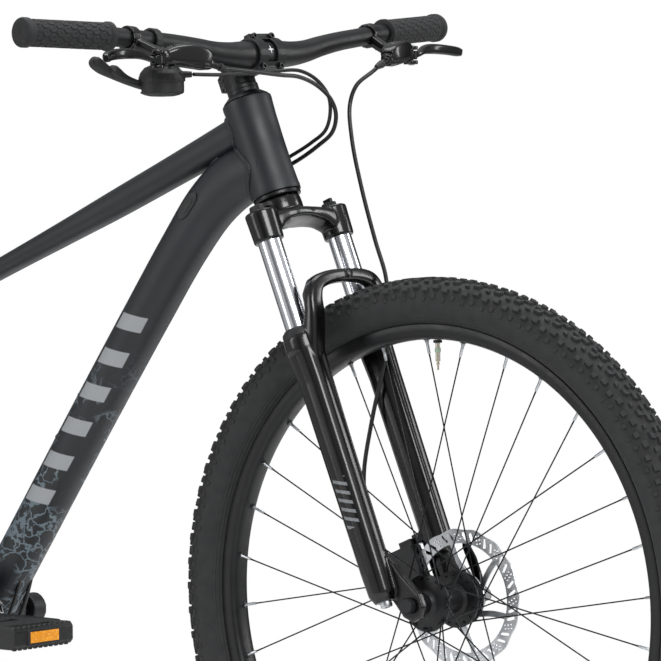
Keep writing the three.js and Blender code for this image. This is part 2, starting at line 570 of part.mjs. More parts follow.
function makeBrakeLevers() {
  for (const [word, side] of [["left", 1], ["right", -1]]) {
    const at = (point) => flipY(point, side);
    const { band, tool } = barBand(lever.clampOut, side, 6, 14.9);
    const bridge = shapedTube(
      [
        { at: at(v(306, 214, 1010)), wide: 8, high: 8 },
        { at: at(v(330, 208, 1000)), wide: 9, high: 7 },
        { at: at(v(352, 202, 994)), wide: 10, high: 7 },
      ],
      { count: 8, power: 3 },
    );
    const [a, b, c, d] = lever.master.map(at);
    const master = shapedTube(
      [
        { at: a, wide: 9.5, high: 7.5 }, { at: b, wide: 12, high: 13 },
        { at: c, wide: 10.5, high: 10.5 }, { at: d, wide: 7, high: 7 },
      ],
      { count: 12, power: 3, guide: v(1, 0, 0) },
    );
    const nozzle = rod(d, at(v(372.7, 145, 981.5)), 4.6, 10, 3.6);
    const yokeSlot = rod(at(lever.pivot).add(v(0, 0, -6.2)), at(lever.pivot).add(v(0, 0, 6.2)), 10.5, 16);
    const outside = block(at(v(351, 243, 992)), [40, 20, 12.4]);
    const yoke = rod(at(lever.pivot).add(v(0, 0, -11)), at(lever.pivot).add(v(0, 0, 11)), 8, 16);
    const pin = rod(at(lever.pivot).add(v(0, 0, -10)), at(lever.pivot).add(v(0, 0, 10)), 2.2, 10);
    const body = cut(join(band, bridge, master, nozzle, yoke), yokeSlot, outside, tool);
    addPart(`brake_body_${word}`, join(body, pin), "gloss");

    const stations = lever.blade.map(([x, y, z, wide, high]) => ({ at: at(v(x, y, z)), wide, high }));
    const hub = rod(at(lever.pivot).add(v(0, 0, -5.4)), at(lever.pivot).add(v(0, 0, 5.4)), 7, 14);
    const blade = shapedTube(stations, { count: 10, power: 2.6, guide: v(1, 0, 0) });
    const levelled = blade.intersect(join(block(at(v(351, 225, 992)), [40, 34, 10.8]), block(at(v(351, 292, 992)), [60, 100, 60])));
    const pinHole = rod(at(lever.pivot).add(v(0, 0, -20)), at(lever.pivot).add(v(0, 0, 20)), 2.5, 10);
    addPart(`brake_lever_${word}`, cut(join(hub, levelled), pinHole), "gloss");
  }
}

// The shifter hangs under the right side of the bar, and its two thumb levers turn on one upright pin.
const shifter = { clampOut: 182, pod: v(303, -168, 974) };

function makeShifter() {
  const { clampOut, pod } = shifter;
  const { band, tool } = barBand(clampOut, -1, 5, 15.4);
  const strap = block(v(305, -178, 996), [14, 10, 22]);
  const down = v(0, 0, -1);
  const dome = [[0, -12], [12, -11.4], [20, -8], [25, -2], [27, 4], [27, 8], [0, 8], [0, -12]];
  const caseBody = turned(dome, pod, down, 24);
  const barrel = rod(v(318, -168, 974), v(333.4, -150.5, 974), 5, 10, 3.6);
  const levers = rod(pod.clone().add(v(0, 0, -8)), pod.clone().add(v(0, 0, -22)), 3, 10);
  addPart("shifter_body", cut(join(band, strap, caseBody, barrel, levers), tool), "plastic");

  const wing = (name, level, tip, elbow, pad) => {
    const root = pod.clone().setZ(level);
    const hub = rod(root.clone().add(v(0, 0, -2.3)), root.clone().add(v(0, 0, 2.3)), 8.5, 14);
    const armStations = [root, elbow, tip].map((at) => ({ at, wide: 4.5, high: 2.2 }));
    const arm = shapedTube(armStations, { count: 8, power: 3, guide: v(1, 0, 0) });
    const paddle = shapedTube(
      [
        { at: tip.clone().addScaledVector(pad, -9), wide: 4, high: 5 },
        { at: tip, wide: 5, high: 8.5 },
        { at: tip.clone().addScaledVector(pad, 9), wide: 3.5, high: 6 },
      ],
      { count: 10, power: 2.4, guide: v(1, 0.3, 0).normalize() },
    );
    const pinHole = rod(root.clone().setZ(level - 20), root.clone().setZ(level + 20), 3.3, 10);
    addPart(name, cut(join(hub, arm, paddle), pinHole), "plastic");
  };
  wing("shift_thumb_lever", 957.2, v(262, -238, 988), v(270.6, -223, 958), v(0.35, 0.55, -0.75).normalize());
  wing("shift_trigger", 962.8, v(287, -220, 977), v(297, -203, 964), v(-0.2, 0.75, -0.6).normalize());
}

// ---- Wheels ----

function makeWheel(word, centre, flanges, hubShape, rotorY) {
  const mirror = (points) => points.map(([r, y]) => [r, -y]).reverse();
  const outside = [[304, 12.2], [317.6, 12.4], [326, 24.5], [343, 29.3], [361, 25.5], [369.4, 12]];
  const inside = [[304, 9.4], [318, 9.4], [334, 24.2], [352, 24.4], [365.5, 11]];
  const carcass = [...outside, [wheelRadius, 0], ...mirror(outside), ...mirror(mirror(inside)).map(([r, y]) => [r, -y])];
  addPart(`${word}_tyre`, wheelRing([...carcass, ...mirror(inside).map(([r, y]) => [r, -y]), carcass[0]], centre, 24), "tyre");

  const half = [[317, 12.8], [317, 14.8], [306, 14.6], [302, 12.6], [299.5, 6]];
  const bed = [303.4, 12.6];
  const rim = [bed, ...half, ...mirror(half), [bed[0], -bed[1]], bed];
  addPart(`${word}_rim`, wheelRing(rim, centre, 24), "darkMetal");
  addPart(`${word}_hub`, wheelRing(hubShape, centre, 14), "darkMetal");

  // Sixteen spokes a side, laced three-cross: every other one leads, and the rest trail.
  const spokePhase = radians(90 - 1.28 + 5.625);
  for (const [side, flangeY] of flanges) {
    const offset = side > 0 ? 0 : Math.PI / spokesPerSide;
    const spokes = Array.from({ length: spokesPerSide }, (_, i) => {
      const rimTurn = spokePhase + offset + (2 * Math.PI * i) / spokesPerSide;
      const lean = (i % 2 ? 1 : -1) * ((3 * 2 * Math.PI) / spokesPerSide);
      const onCircle = (turn, radius, y) => centre.clone().add(v(radius * Math.cos(turn), y, radius * Math.sin(turn)));
      const head = onCircle(rimTurn + lean, 29, flangeY + side * 4.9);
      return rod(head, onCircle(rimTurn, 296, side * 4), 1.1, 3);
    });
    addPart(`${word}_spokes_${side > 0 ? "left" : "right"}`, join(...spokes), "spoke");
  }

  const flatRing = (inside, outside) =>
    cut(axleDisc(centre, rotorY, outside, 28), axleDisc(centre, rotorY, inside, 28, 2));
  const arms = Array.from({ length: 6 }, (_, i) => {
    const turn = (Math.PI * i) / 3 + 0.35;
    const along = v(Math.cos(turn), 0, Math.sin(turn));
    const lean = v(Math.cos(turn + 0.42), 0, Math.sin(turn + 0.42));
    const from = centre.clone().addScaledVector(along, 25);
    const to = centre.clone().addScaledVector(lean, 66);
    const middle = from.clone().add(to).multiplyScalar(0.5).setY(rotorY);
    const run = to.clone().sub(from);
    return block(middle, [run.length(), 1.8, 7], run.clone().normalize(), acrossBike);
  });
  addPart(`${word}_rotor`, join(flatRing(63, rotorRadius), flatRing(22, 30), ...arms), "steel");
}

function axleDisc(centre, y, radius, sides, spare = 0) {
  const half = 0.9 + spare;
  return rod(centre.clone().setY(y - half), centre.clone().setY(y + half), radius, sides);
}

const frontFlanges = [[1, 25.5], [-1, -28.5]];
const rearFlanges = [[1, 34], [-1, -20.5]];

// A hub shell with a flange on each side and a rotor seat on the left.
function hubProfile([leftFlange, rightFlange], ends, rotorY, bore) {
  const [right, left] = ends;
  return [
    [bore, right], [12, right], [12, rightFlange - 6], [17, rightFlange - 3], [33, rightFlange - 1.6],
    [33, rightFlange + 1.6], [18, rightFlange + 3.5], [14, rightFlange + 9], [14, leftFlange - 9], [18, leftFlange - 3.5],
    [33, leftFlange - 1.6], [33, leftFlange + 1.6], [24, leftFlange + 3], [24, rotorY - 1.2 - gap], [21.7, rotorY - 1.2 - gap],
    [21.7, rotorY + 1.5], [12, rotorY + 1.8], [12, left], [bore, left], [bore, right],
  ];
}

const frontRotorY = 39.5;
const rearRotorY = 52;

function makeWheels() {
  const frontProfile = hubProfile([25.5, -28.5], [-frontHubHalf, frontHubHalf], frontRotorY, 5);
  makeWheel("front", frontAxle, frontFlanges, frontProfile, frontRotorY);
  const rearProfile = hubProfile([34, -20.5], [-27, rearHubHalf - 4.6], rearRotorY, 6.9);
  makeWheel("rear", rearAxle, rearFlanges, rearProfile, rearRotorY);
}

// ---- Drivetrain ----

const pitchRadius = (teeth) => chainPitch / (2 * Math.sin(Math.PI / teeth));
const guideCentre = v(-560, chainLineY, 301);
const tensionCentre = v(-532, chainLineY, 226);

// The chain's closed path in side view, clockwise seen from the right. The guide pulley turns the other way.
function chainPath() {
  const wheels = [
    [bottomBracket, chainringTeeth, 1], [tensionCentre, pulleyTeeth, 1], [guideCentre, pulleyTeeth, -1], [rearAxle, chainCogTeeth, 1],
  ].map(([centre, teeth, sense]) => ({ x: centre.x, z: centre.z, radius: pitchRadius(teeth), sense }));
  const normals = wheels.map((a, i) => {
    const b = wheels[(i + 1) % wheels.length];
    const length = Math.hypot(b.x - a.x, b.z - a.z);
    const [dx, dz] = [(b.x - a.x) / length, (b.z - a.z) / length];
    const lean = (a.sense * a.radius - b.sense * b.radius) / length;
    const along = Math.sqrt(1 - lean * lean);
    return [lean * dx - along * dz, lean * dz + along * dx];
  });
  const path = [];
  wheels.forEach((wheel, i) => {
    const arrive = normals[(i + wheels.length - 1) % wheels.length];
    const leave = normals[i];
    const from = Math.atan2(wheel.sense * arrive[1], wheel.sense * arrive[0]);
    let sweep = Math.atan2(wheel.sense * leave[1], wheel.sense * leave[0]) - from;
    if (wheel.sense > 0) while (sweep > 0) sweep -= 2 * Math.PI;
    else while (sweep < 0) sweep += 2 * Math.PI;
    const steps = Math.max(2, Math.ceil(Math.abs(sweep) / radians(21)));
    for (let k = 0; k <= steps; k += 1) {
      const turn = from + (sweep * k) / steps;
      const [c, s] = [Math.cos(turn), Math.sin(turn)];
      path.push({ x: wheel.x + wheel.radius * c, z: wheel.z + wheel.radius * s, out: [wheel.sense * c, wheel.sense * s] });
    }
  });
  return path;
}

function makeChain() {
  const tall = 4;
  const section = [
    [-tall, -3.1], [-tall, -2.2], [-0.6, -2.2], [-0.6, 2.2], [-tall, 2.2], [-tall, 3.1],
    [tall, 3.1], [tall, 2.2], [0.6, 2.2], [0.6, -2.2], [tall, -2.2], [tall, -3.1],
  ];
  const rings = chainPath().map(({ x, z, out }) =>
    section.map(([h, w]) => v(x + h * out[0], chainLineY + w, z + h * out[1])));
  addPart("chain", loft(rings, true), "steel");
}

const discAt = (centre, radius, lowY, highY, sides) =>
  rod(centre.clone().setY(lowY), centre.clone().setY(highY), radius, sides);

function makeCranks() {
  const pedalRight = bottomBracket.clone().add(v(crankLength, 0, 0));
  const pedalLeft = bottomBracket.clone().add(v(-crankLength, 0, 0));
  const arm = (end, side) => {
    const reach = end.x - bottomBracket.x;
    const station = (part, y, wide, high) => ({
      at: bottomBracket.clone().add(v(reach * part, side * y, 0)), wide, high,
    });
    return shapedTube(
      [station(0, 72, 9, 19), station(0.14, 73, 7.5, 16), station(0.5, 77, 6.5, 13), station(0.9, 80, 6.5, 13), station(1.07, 80, 6, 12.5)],
      { count: 12, power: 3 },
    );
  };
  const axle = (end, side) => discAt(end, 6, side > 0 ? 80 : -178, side > 0 ? 178 : -80, 12);

  const spindle = discAt(bottomBracket, 9, -66, 61, 16);
  const bossRight = discAt(bottomBracket, 19, -84, -58.5, 20);
  const spider = discAt(bottomBracket, 20, -58.6, -53.5, 20);
  const spiderArms = Array.from({ length: 4 }, (_, i) => {
    const turn = Math.PI / 4 + (Math.PI / 2) * i;
    const along = v(Math.cos(turn), 0, Math.sin(turn));
    const middle = bottomBracket.clone().addScaledVector(along, 34).setY(-55.4);
    return block(middle, [42, 3.8, 14], along, acrossBike);
  });
  addPart("crank_arm_right", join(arm(pedalRight, -1), axle(pedalRight, -1), spindle, bossRight, spider, ...spiderArms), "darkMetal");

  const bossLeft = discAt(bottomBracket, 19, 62, 84, 20);
  const socket = discAt(bottomBracket, 9 + gap, 40, 66, 16);
  addPart("crank_arm_left", cut(join(arm(pedalLeft, 1), axle(pedalLeft, 1), bossLeft), socket), "darkMetal");

  const ringDisc = discAt(bottomBracket, 62.6, chainLineY - 1.2, chainLineY + 1.2, 36);
  const windows = discAt(bottomBracket, 46, chainLineY - 5, chainLineY + 5, 24);
  const tabs = Array.from({ length: 4 }, (_, i) => {
    const turn = Math.PI / 4 + (Math.PI / 2) * i;
    const along = v(Math.cos(turn), 0, Math.sin(turn));
    return block(bottomBracket.clone().addScaledVector(along, 47).setY(chainLineY), [14, 2.4, 16], along, acrossBike);
  });
  addPart("chainring", join(cut(ringDisc, windows), ...tabs), "steel");

  for (const [word, side, end] of [["right", -1, pedalRight], ["left", 1, pedalLeft]]) {
    const near = side * 92;
    const far = side * 196;
    const [lowY, highY] = [Math.min(near, far), Math.max(near, far)];
    const middle = (lowY + highY) / 2;
    const outline = [[-46, -8], [-42, -13], [42, -13], [46, -8], [46, 8], [42, 13], [-42, 13], [-46, 8]];
    const shell = plate(outline.map(([x, z]) => [end.x + x, end.z + z]), lowY, highY);
    const barrel = discAt(end, 11.5, lowY, highY, 14);
    const openings = [-27, 27].map((x) => block(v(end.x + x, middle, end.z), [22, 74, 40]));
    const bore = discAt(end, 6 + gap, lowY - 5, side > 0 ? 179 : highY + 5, 12);
    const boreRight = discAt(end, 6 + gap, -179, highY + 5, 12);
    addPart(`pedal_${word}`, cut(join(cut(shell, ...openings), barrel), side > 0 ? bore : boreRight), "plastic");
  }
}

function makeCassette() {
  const steps = [
    [7, -64.4], [22.5, -64.4], [22.5, -60.8], [28.5, -58.4], [30.5, -53.9], [30.8, -51.4], [35, -51.35],
    [35, -49.55], [30.8, -49.5], [31, -47], [42.6, -46], [48.6, -42.7], [56.7, -38.7], [68.8, -34.2], [82.9, -30.4],
    [82.9, -28.4], [16, -28.4], [16, -27.3], [7, -27.3], [7, -64.4],
  ];
  addPart("cassette", wheelRing(steps, rearAxle, 18), "steel");
}

function makeDerailleur() {
  const knuckle = v(-583, 0, 345);
  const upperKnuckle = discAt(knuckle, 10, -92, -75.3, 14);
  const lowerKnuckle = discAt(guideCentre, 12, -92, -57.3, 16);
  const link = block(v(-571.5, -86, 323), [54, 11, 20], v(-0.464, 0, 0.886), acrossBike);
  const cableStop = rod(v(-566, -86, 322), v(-546.6, -84, 325), 5, 10, 4);
  addPart("derailleur_body", join(upperKnuckle, lowerKnuckle, link, cableStop), "darkMetal");

  const run = tensionCentre.clone().sub(guideCentre);
  const middle = guideCentre.clone().addScaledVector(run, 0.5);
  const side = (lowY, highY) =>
    join(
      block(middle.clone().setY((lowY + highY) / 2), [run.length(), highY - lowY, 19], run.clone().normalize(), acrossBike),
      discAt(guideCentre, 9.5, lowY, highY, 16),
      discAt(tensionCentre, 9.5, lowY, highY, 16),
    );
  const pins = [guideCentre, tensionCentre].map((at) => discAt(at, 2.5, -56, -45, 10));
  addPart("derailleur_cage", join(side(-46.4, -44.9), side(-56.1, -54.6), ...pins), "darkMetal");

  for (const [name, at] of [["guide_pulley", guideCentre], ["tension_pulley", tensionCentre]]) {
    const wheel = discAt(at, 20.8, chainLineY - 1.4, chainLineY + 1.4, 22);
    addPart(name, cut(wheel, discAt(at, 2.8, -60, -40, 10)), "plastic");
  }

  const outerFace = rearHubHalf + 7.5 + gap;
  const innerFace = rearHubHalf;
  const nuts = [-1, 1].flatMap((end) => [
    rod(rearAxle.clone().setY(end * outerFace), rearAxle.clone().setY(end * 84), 10, 14),
    rod(rearAxle.clone().setY(end * (innerFace - 2.2)), rearAxle.clone().setY(end * innerFace), 9.5, 14),
  ]);
  addPart("rear_axle", join(axleRod(rearAxle, 84, 6.5), ...nuts), "darkMetal");
}

// ---- Disc calipers ----

function caliper(centre, along, out, rotorY, lowY, highY, ports) {
  const middle = centre.clone().setY((lowY + highY) / 2);
  const body = block(middle, [52, highY - lowY, 38], along, acrossBike);
  const slot = block(centre.clone().addScaledVector(out, -11).setY(rotorY), [90, 3.2, 52.8], along, acrossBike);
  const feet = [-1, 1].map((end) => block(middle.clone().addScaledVector(along, end * 28).setY(highY - 7), [14, 13, 18], along, acrossBike));
  return cut(join(body, ...feet), slot, ...ports);
}

function makeCalipers() {
  const frontCentre = onSteer(55, -12);
  const besideLeg = block(onSteer(55, 11, 54), [90, 20, 22], steerUp, acrossBike);
  const frontPort = rod(onSteer(57, -45, 50), onSteer(57, -27, 50), hoseRadius + gap, 10);
  const frontBody = caliper(frontCentre, steerUp, steerForward.clone().negate(), frontRotorY, 27.8, 56, [frontPort, besideLeg]);
  addPart("front_brake_caliper", cut(frontBody, forkLowersTabs(gap)), "darkMetal");

  const rise = radians(20);
  const out = v(Math.cos(rise), 0, Math.sin(rise));
  const along = v(-Math.sin(rise), 0, Math.cos(rise));
  const rearCentre = rearAxle.clone().addScaledVector(out, 84);
  const rearPort = rod(v(-455, 72, 378), v(-478, 56, 396), hoseRadius + gap, 10);
  addPart("rear_brake_caliper", caliper(rearCentre, along, out, rearRotorY, 39, 60, [rearPort]), "darkMetal");
}

function forkLowersTabs(grow) {
  return join(...[30, 88].map((up) => block(onSteer(up, 0, 57), [12 + 2 * grow, 14 + 2 * grow, 12 + 2 * grow], steerUp, acrossBike)));
}

function makeHoses() {
  addPart("front_brake_hose", cord(routePoints("frontBrake"), hoseRadius, 30), "rubber");
  addPart("rear_brake_hose", cord(routePoints("rearBrake"), hoseRadius, 54), "rubber");
  addPart("shift_housing", cord(routePoints("shift"), 2.2, 54), "rubber");
}

makeHeadTube();
makeMainTubes();
makeStays();
makeSeat();
makeForkUpper();
makeForkLowers();
makeFrontAxle();
makeCockpit();
makeBrakeLevers();
makeShifter();
makeWheels();
makeChain();
makeCranks();
makeCassette();
makeDerailleur();
makeCalipers();
makeHoses();

export default bike;
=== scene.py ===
import math

import bmesh
import bpy
import numpy as np
from mathutils import Matrix, Vector
from mathutils.bvhtree import BVHTree


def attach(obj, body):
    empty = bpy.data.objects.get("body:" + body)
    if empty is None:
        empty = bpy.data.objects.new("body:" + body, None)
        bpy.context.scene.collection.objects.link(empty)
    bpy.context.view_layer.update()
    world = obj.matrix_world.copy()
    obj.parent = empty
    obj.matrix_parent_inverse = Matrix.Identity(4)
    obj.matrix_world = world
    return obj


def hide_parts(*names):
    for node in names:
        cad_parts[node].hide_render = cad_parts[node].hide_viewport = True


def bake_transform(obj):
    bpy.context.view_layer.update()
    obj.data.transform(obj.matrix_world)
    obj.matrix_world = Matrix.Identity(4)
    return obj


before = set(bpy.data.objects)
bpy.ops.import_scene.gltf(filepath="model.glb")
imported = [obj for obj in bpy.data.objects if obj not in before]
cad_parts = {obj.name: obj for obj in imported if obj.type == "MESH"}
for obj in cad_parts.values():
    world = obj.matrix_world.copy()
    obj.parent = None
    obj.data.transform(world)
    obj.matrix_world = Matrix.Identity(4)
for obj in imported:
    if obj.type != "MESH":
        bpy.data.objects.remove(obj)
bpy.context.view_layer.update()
scene = bpy.context.scene
scene.view_settings.view_transform = "Standard"  # a plain studio curve, so paper white stays white
print("frame loaded")

# places are in millimetres here and metres in the scene; +X forward, +Y the rider's left, +Z up


def spot(x, y, z):
    return Vector((x, y, z)) * 0.001


steerAngle = math.radians(67.7)
steerUp = Vector((-math.cos(steerAngle), 0, math.sin(steerAngle)))
steerForward = Vector((math.sin(steerAngle), 0, math.cos(steerAngle)))
seatUp = Vector((-math.cos(math.radians(73)), 0, math.sin(math.radians(73))))
left = Vector((0, 1, 0))
frontAxle = spot(573, 0, 371)
rearAxle = spot(-573, 0, 371)
bottomBracket = spot(-132, 0, 313)
steerFoot = frontAxle - steerForward * 0.048
stanchionPlace = {"spread": 63.75, "ahead": 19.4}


def spokewise(turn):  # the direction of a turn in the bicycle's side view
    return Vector((math.cos(turn), 0, math.sin(turn)))


def evenTurns(count):
    return np.linspace(0, 2 * math.pi, count, endpoint=False)


def onSteer(up, ahead=0.0, y=0.0):  # up the steering axis, ahead of it and to the left
    return steerFoot + (steerUp * up + steerForward * ahead + left * y) * 0.001


def onSeatTube(up):
    return bottomBracket + seatUp * up * 0.001


# camera, light and floor
studio = {
    "cameraAt": spot(4398.5, -4876.4, 1035.7),
    "cameraTarget": spot(411.5, 0, 675.8),
    "roll": -0.49,
    "lens": 296.8,
    "keyPower": 95,
    "fillPower": 36,
    "topPower": 62,
    "rimPower": 36,
    "worldStrength": 0.62,
    "floorRadius": 1900,
}
look = (studio["cameraTarget"] - studio["cameraAt"]).normalized()
sideways = look.cross(Vector((0, 0, 1))).normalized()
upright = sideways.cross(look)
roll = math.radians(studio["roll"])
sideways, upright = (
    sideways * math.cos(roll) + upright * math.sin(roll),
    upright * math.cos(roll) - sideways * math.sin(roll),
)
cameraData = bpy.data.cameras.new("camera")
cameraData.lens = studio["lens"]
cameraData.sensor_width = 36
cameraData.clip_end = 60
camera = bpy.data.objects.new("camera", cameraData)
turned = Matrix((sideways, upright, -look)).transposed().to_4x4()
camera.matrix_world = Matrix.Translation(studio["cameraAt"]) @ turned
scene.collection.objects.link(camera)
scene.camera = camera


def node(tree, kind, settings=None, links=None):  # adds a node with its values and its incoming links
    made = tree.nodes.new(kind)
    for key, value in (settings or {}).items():
        if isinstance(value, bpy.types.NodeSocket):
            tree.links.new(value, made.inputs[key])
        elif isinstance(key, int) or key in made.inputs:
            made.inputs[key].default_value = value
        else:
            setattr(made, key, value)
    for key, source in (links or {}).items():
        tree.links.new(source, made.inputs[key])
    return made


def hexColour(code):  # an sRGB hex value as linear red, green, blue and alpha
    channels = [int(code[i : i + 2], 16) / 255 for i in (1, 3, 5)]
    return (*[c / 12.92 if c <= 0.04045 else ((c + 0.055) / 1.055) ** 2.4 for c in channels], 1)


def softBox(name, at, size, power):
    data = bpy.data.lights.new(name, "AREA")
    data.shape = "RECTANGLE"
    data.size, data.size_y = size
    data.energy = power
    lamp = bpy.data.objects.new(name, data)
    lamp.location = at
    lamp.rotation_euler = (Vector((0.35, 0, 0.7)) - Vector(at)).to_track_quat("-Z", "Y").to_euler()
    scene.collection.objects.link(lamp)


softBox("keyLight", (3.4, -1.6, 2.6), (1.8, 1.4), studio["keyPower"])
softBox("fillLight", (-1.8, -3.6, 1.6), (1.2, 2.2), studio["fillPower"])
softBox("topLight", (0.2, 0.3, 3.4), (3.0, 1.4), studio["topPower"])
softBox("rimLight", (2.6, 3.0, 1.8), (0.8, 2.0), studio["rimPower"])
world = bpy.data.worlds.new("studioWalls")
scene.world = world
world.use_nodes = True
sky = world.node_tree
sky.nodes.clear()
where = node(sky, "ShaderNodeTexCoord")
parts = node(sky, "ShaderNodeSeparateXYZ", links={0: where.outputs["Generated"]})
bearing = node(sky, "ShaderNodeMath", {"operation": "ARCTAN2"},
    {0: parts.outputs["Y"], 1: parts.outputs["X"]})
bearingPart = node(sky, "ShaderNodeMapRange", {1: -math.pi, 2: math.pi}, {0: bearing.outputs[0]})
# grey panels stand between white ones round the room, which gives bright metal its streaks
walls = node(sky, "ShaderNodeValToRGB", links={0: bearingPart.outputs[0]})
wallStops = [(0.0, 0.6), (0.08, 0.85), (0.2, 1.0), (0.25, 0.95), (0.275, 0.3), (0.315, 0.26), (0.335, 0.85),
    (0.45, 1.0), (0.62, 0.95), (0.69, 0.5), (0.73, 0.08), (0.82, 0.08), (0.86, 0.45), (1.0, 0.6)]
ramp = walls.color_ramp
while len(ramp.elements) < len(wallStops):
    ramp.elements.new(0.5)
for element, (place, value) in zip(ramp.elements, wallStops):
    element.position = place
    element.color = (value, value, value * 1.01, 1)
rise = node(sky, "ShaderNodeMapRange", {1: 0.35, 2: 0.75}, {0: parts.outputs["Z"]})
fall = node(sky, "ShaderNodeMapRange", {1: -0.1, 2: -0.5, 3: 0.0, 4: 1.0}, {0: parts.outputs["Z"]})
roof = node(sky, "ShaderNodeMix", {"data_type": "RGBA", "B": (0.95, 0.96, 0.98, 1)},
    {"Factor": rise.outputs[0], "A": walls.outputs[0]})
ground = node(sky, "ShaderNodeMix", {"data_type": "RGBA", "B": (0.45, 0.45, 0.45, 1)},
    {"Factor": fall.outputs[0], "A": roof.outputs[2]})
glow = node(sky, "ShaderNodeBackground", {"Strength": studio["worldStrength"]}, {"Color": ground.outputs[2]})
backdrop = node(sky, "ShaderNodeBackground", {"Color": (1, 1, 1, 1), "Strength": 1.0})
ray = node(sky, "ShaderNodeLightPath")
chosen = node(sky, "ShaderNodeMixShader",
    links={0: ray.outputs["Is Camera Ray"], 1: glow.outputs[0], 2: backdrop.outputs[0]})
node(sky, "ShaderNodeOutputWorld", links={0: chosen.outputs[0]})


# a finish: a base colour with a second one drifting through it, a fine surface grain and a spread of roughness
def finishOf(name, base, second, rough, metallic=0.0, coat=0.0, coatRough=0.08, driftSize=30.0, grainSize=0.5,
             grainHeight=0.02, stretch=(1, 1, 1), wear=None, sheen=0.0):
    made = bpy.data.materials.new(name)
    made.use_nodes = True
    tree = made.node_tree
    tree.nodes.clear()
    settings = {"Metallic": metallic, "Coat Weight": coat, "Coat Roughness": coatRough, "Sheen Weight": sheen}
    shader = node(tree, "ShaderNodeBsdfPrincipled", settings)
    place = node(tree, "ShaderNodeTexCoord")
    drift = node(tree, "ShaderNodeTexNoise", {"Scale": 1000 / driftSize, "Detail": 5.0},
        {"Vector": place.outputs["Object"]})
    driftPart = node(tree, "ShaderNodeMapRange", {1: 0.32, 2: 0.68}, {0: drift.outputs[0]})
    colour = node(tree, "ShaderNodeMix", {"data_type": "RGBA", "A": hexColour(base), "B": hexColour(second)},
                  {"Factor": driftPart.outputs[0]})
    longer = node(tree, "ShaderNodeMapping", {"Scale": stretch}, {"Vector": place.outputs["Object"]})
    grain = node(tree, "ShaderNodeTexNoise", {"Scale": 1000 / grainSize, "Detail": 3.0},
        {"Vector": longer.outputs[0]})
    smear = node(tree, "ShaderNodeTexNoise", {"Scale": 1000 / (driftSize * 0.4), "Detail": 4.0},
        {"Vector": longer.outputs[0]})
    roughness = node(tree, "ShaderNodeMapRange", {1: 0.3, 2: 0.7, 3: rough[0], 4: rough[1]},
        {0: smear.outputs[0]})
    bump = node(tree, "ShaderNodeBump", {"Strength": 0.6, "Distance": grainHeight * 0.001},
        {"Height": grain.outputs[0]})
    result = colour.outputs[2]
    if wear:  # raised edges rub paler
        geometry = node(tree, "ShaderNodeNewGeometry")
        edge = node(tree, "ShaderNodeMapRange", {1: 0.53, 2: 0.62, 3: 0.0, 4: wear[1]},
            {0: geometry.outputs["Pointiness"]})
        rubbed = node(tree, "ShaderNodeMix", {"data_type": "RGBA", "B": hexColour(wear[0])},
            {"Factor": edge.outputs[0], "A": result})
        result = rubbed.outputs[2]
    tree.links.new(result, shader.inputs["Base Color"])
    tree.links.new(roughness.outputs[0], shader.inputs["Roughness"])
    tree.links.new(bump.outputs[0], shader.inputs["Normal"])
    node(tree, "ShaderNodeOutputMaterial", links={0: shader.outputs[0]})
    return {"material": made, "tree": tree, "shader": shader, "place": place, "colour": result, "bump": bump}


def maskedColour(look, mask, code):  # lays one more colour over a finish where the mask is 1
    tree = look["tree"]
    laid = node(tree, "ShaderNodeMix", {"data_type": "RGBA", "B": hexColour(code)},
        {"Factor": mask, "A": look["colour"]})
    look["colour"] = laid.outputs[2]
    tree.links.new(laid.outputs[2], look["shader"].inputs["Base Color"])


def along(look, origin, direction):  # how far a point lies from a place along a direction, in metres
    tree = look["tree"]
    shifted = node(tree, "ShaderNodeVectorMath", {"operation": "SUBTRACT", 1: origin},
        {0: look["place"].outputs["Object"]})
    dot = node(tree, "ShaderNodeVectorMath", {"operation": "DOT_PRODUCT", 1: direction},
        {0: shifted.outputs[0]})
    return dot.outputs["Value"]


def between(tree, value, low, high, soft=0.0004):  # 1 inside a span and 0 outside it
    rising = node(tree, "ShaderNodeMapRange", {1: low - soft, 2: low + soft}, {0: value}).outputs[0]
    falling = node(tree, "ShaderNodeMapRange", {1: high - soft, 2: high + soft, 3: 1.0, 4: 0.0},
        {0: value}).outputs[0]
    return node(tree, "ShaderNodeMath", {"operation": "MULTIPLY", 0: rising, 1: falling}).outputs[0]


# satin powder paint over aluminium: an even charcoal with a very fine orange peel and a soft highlight
framePaint = finishOf("satinPowderPaint", "#0e1317", "#12171c", (0.42, 0.52), coat=0.0, driftSize=90,
    grainSize=1.4, grainHeight=0.05)
# the same paint with the down tube's cracked veins and plain slanted bars
veinPaint = finishOf("satinPowderPaintVeined", "#0e1317", "#12171c", (0.42, 0.52), driftSize=90,
    grainSize=1.4, grainHeight=0.02)
# sprayed gloss lacquer: deep black with clean sharp reflections
glossBlack = finishOf("glossLacquer", "#030304", "#050506", (0.17, 0.23), driftSize=60, grainSize=2.2,
    grainHeight=0.03)
legPaint = finishOf("glossLacquerForkLegs", "#030304", "#050506", (0.19, 0.25), driftSize=60, grainSize=2.2,
    grainHeight=0.03)
# hard chrome over ground steel: near mirror, with the faintest rings from grinding
hardChrome = finishOf("hardChrome", "#d9dbdf", "#cdd0d5", (0.15, 0.2), metallic=1.0, driftSize=40,
    grainSize=0.8, grainHeight=0.004, stretch=(0.3, 0.3, 3))
# black anodised forged aluminium: satin black with a blasted grain and rubbed edges
blackAlloy = finishOf("blackAnodisedAluminium", "#0d0e10", "#141517", (0.36, 0.48), metallic=0.3,
    driftSize=25, grainSize=0.6, grainHeight=0.02, wear=("#33353a", 0.3))
# polished black anodised aluminium: the lever blades' tighter highlight
leverAlloy = finishOf("polishedBlackAluminium", "#08090a", "#0e0f11", (0.16, 0.26), metallic=0.6, coat=0.3,
    driftSize=20, grainSize=0.5, grainHeight=0.006, wear=("#55585c", 0.3))
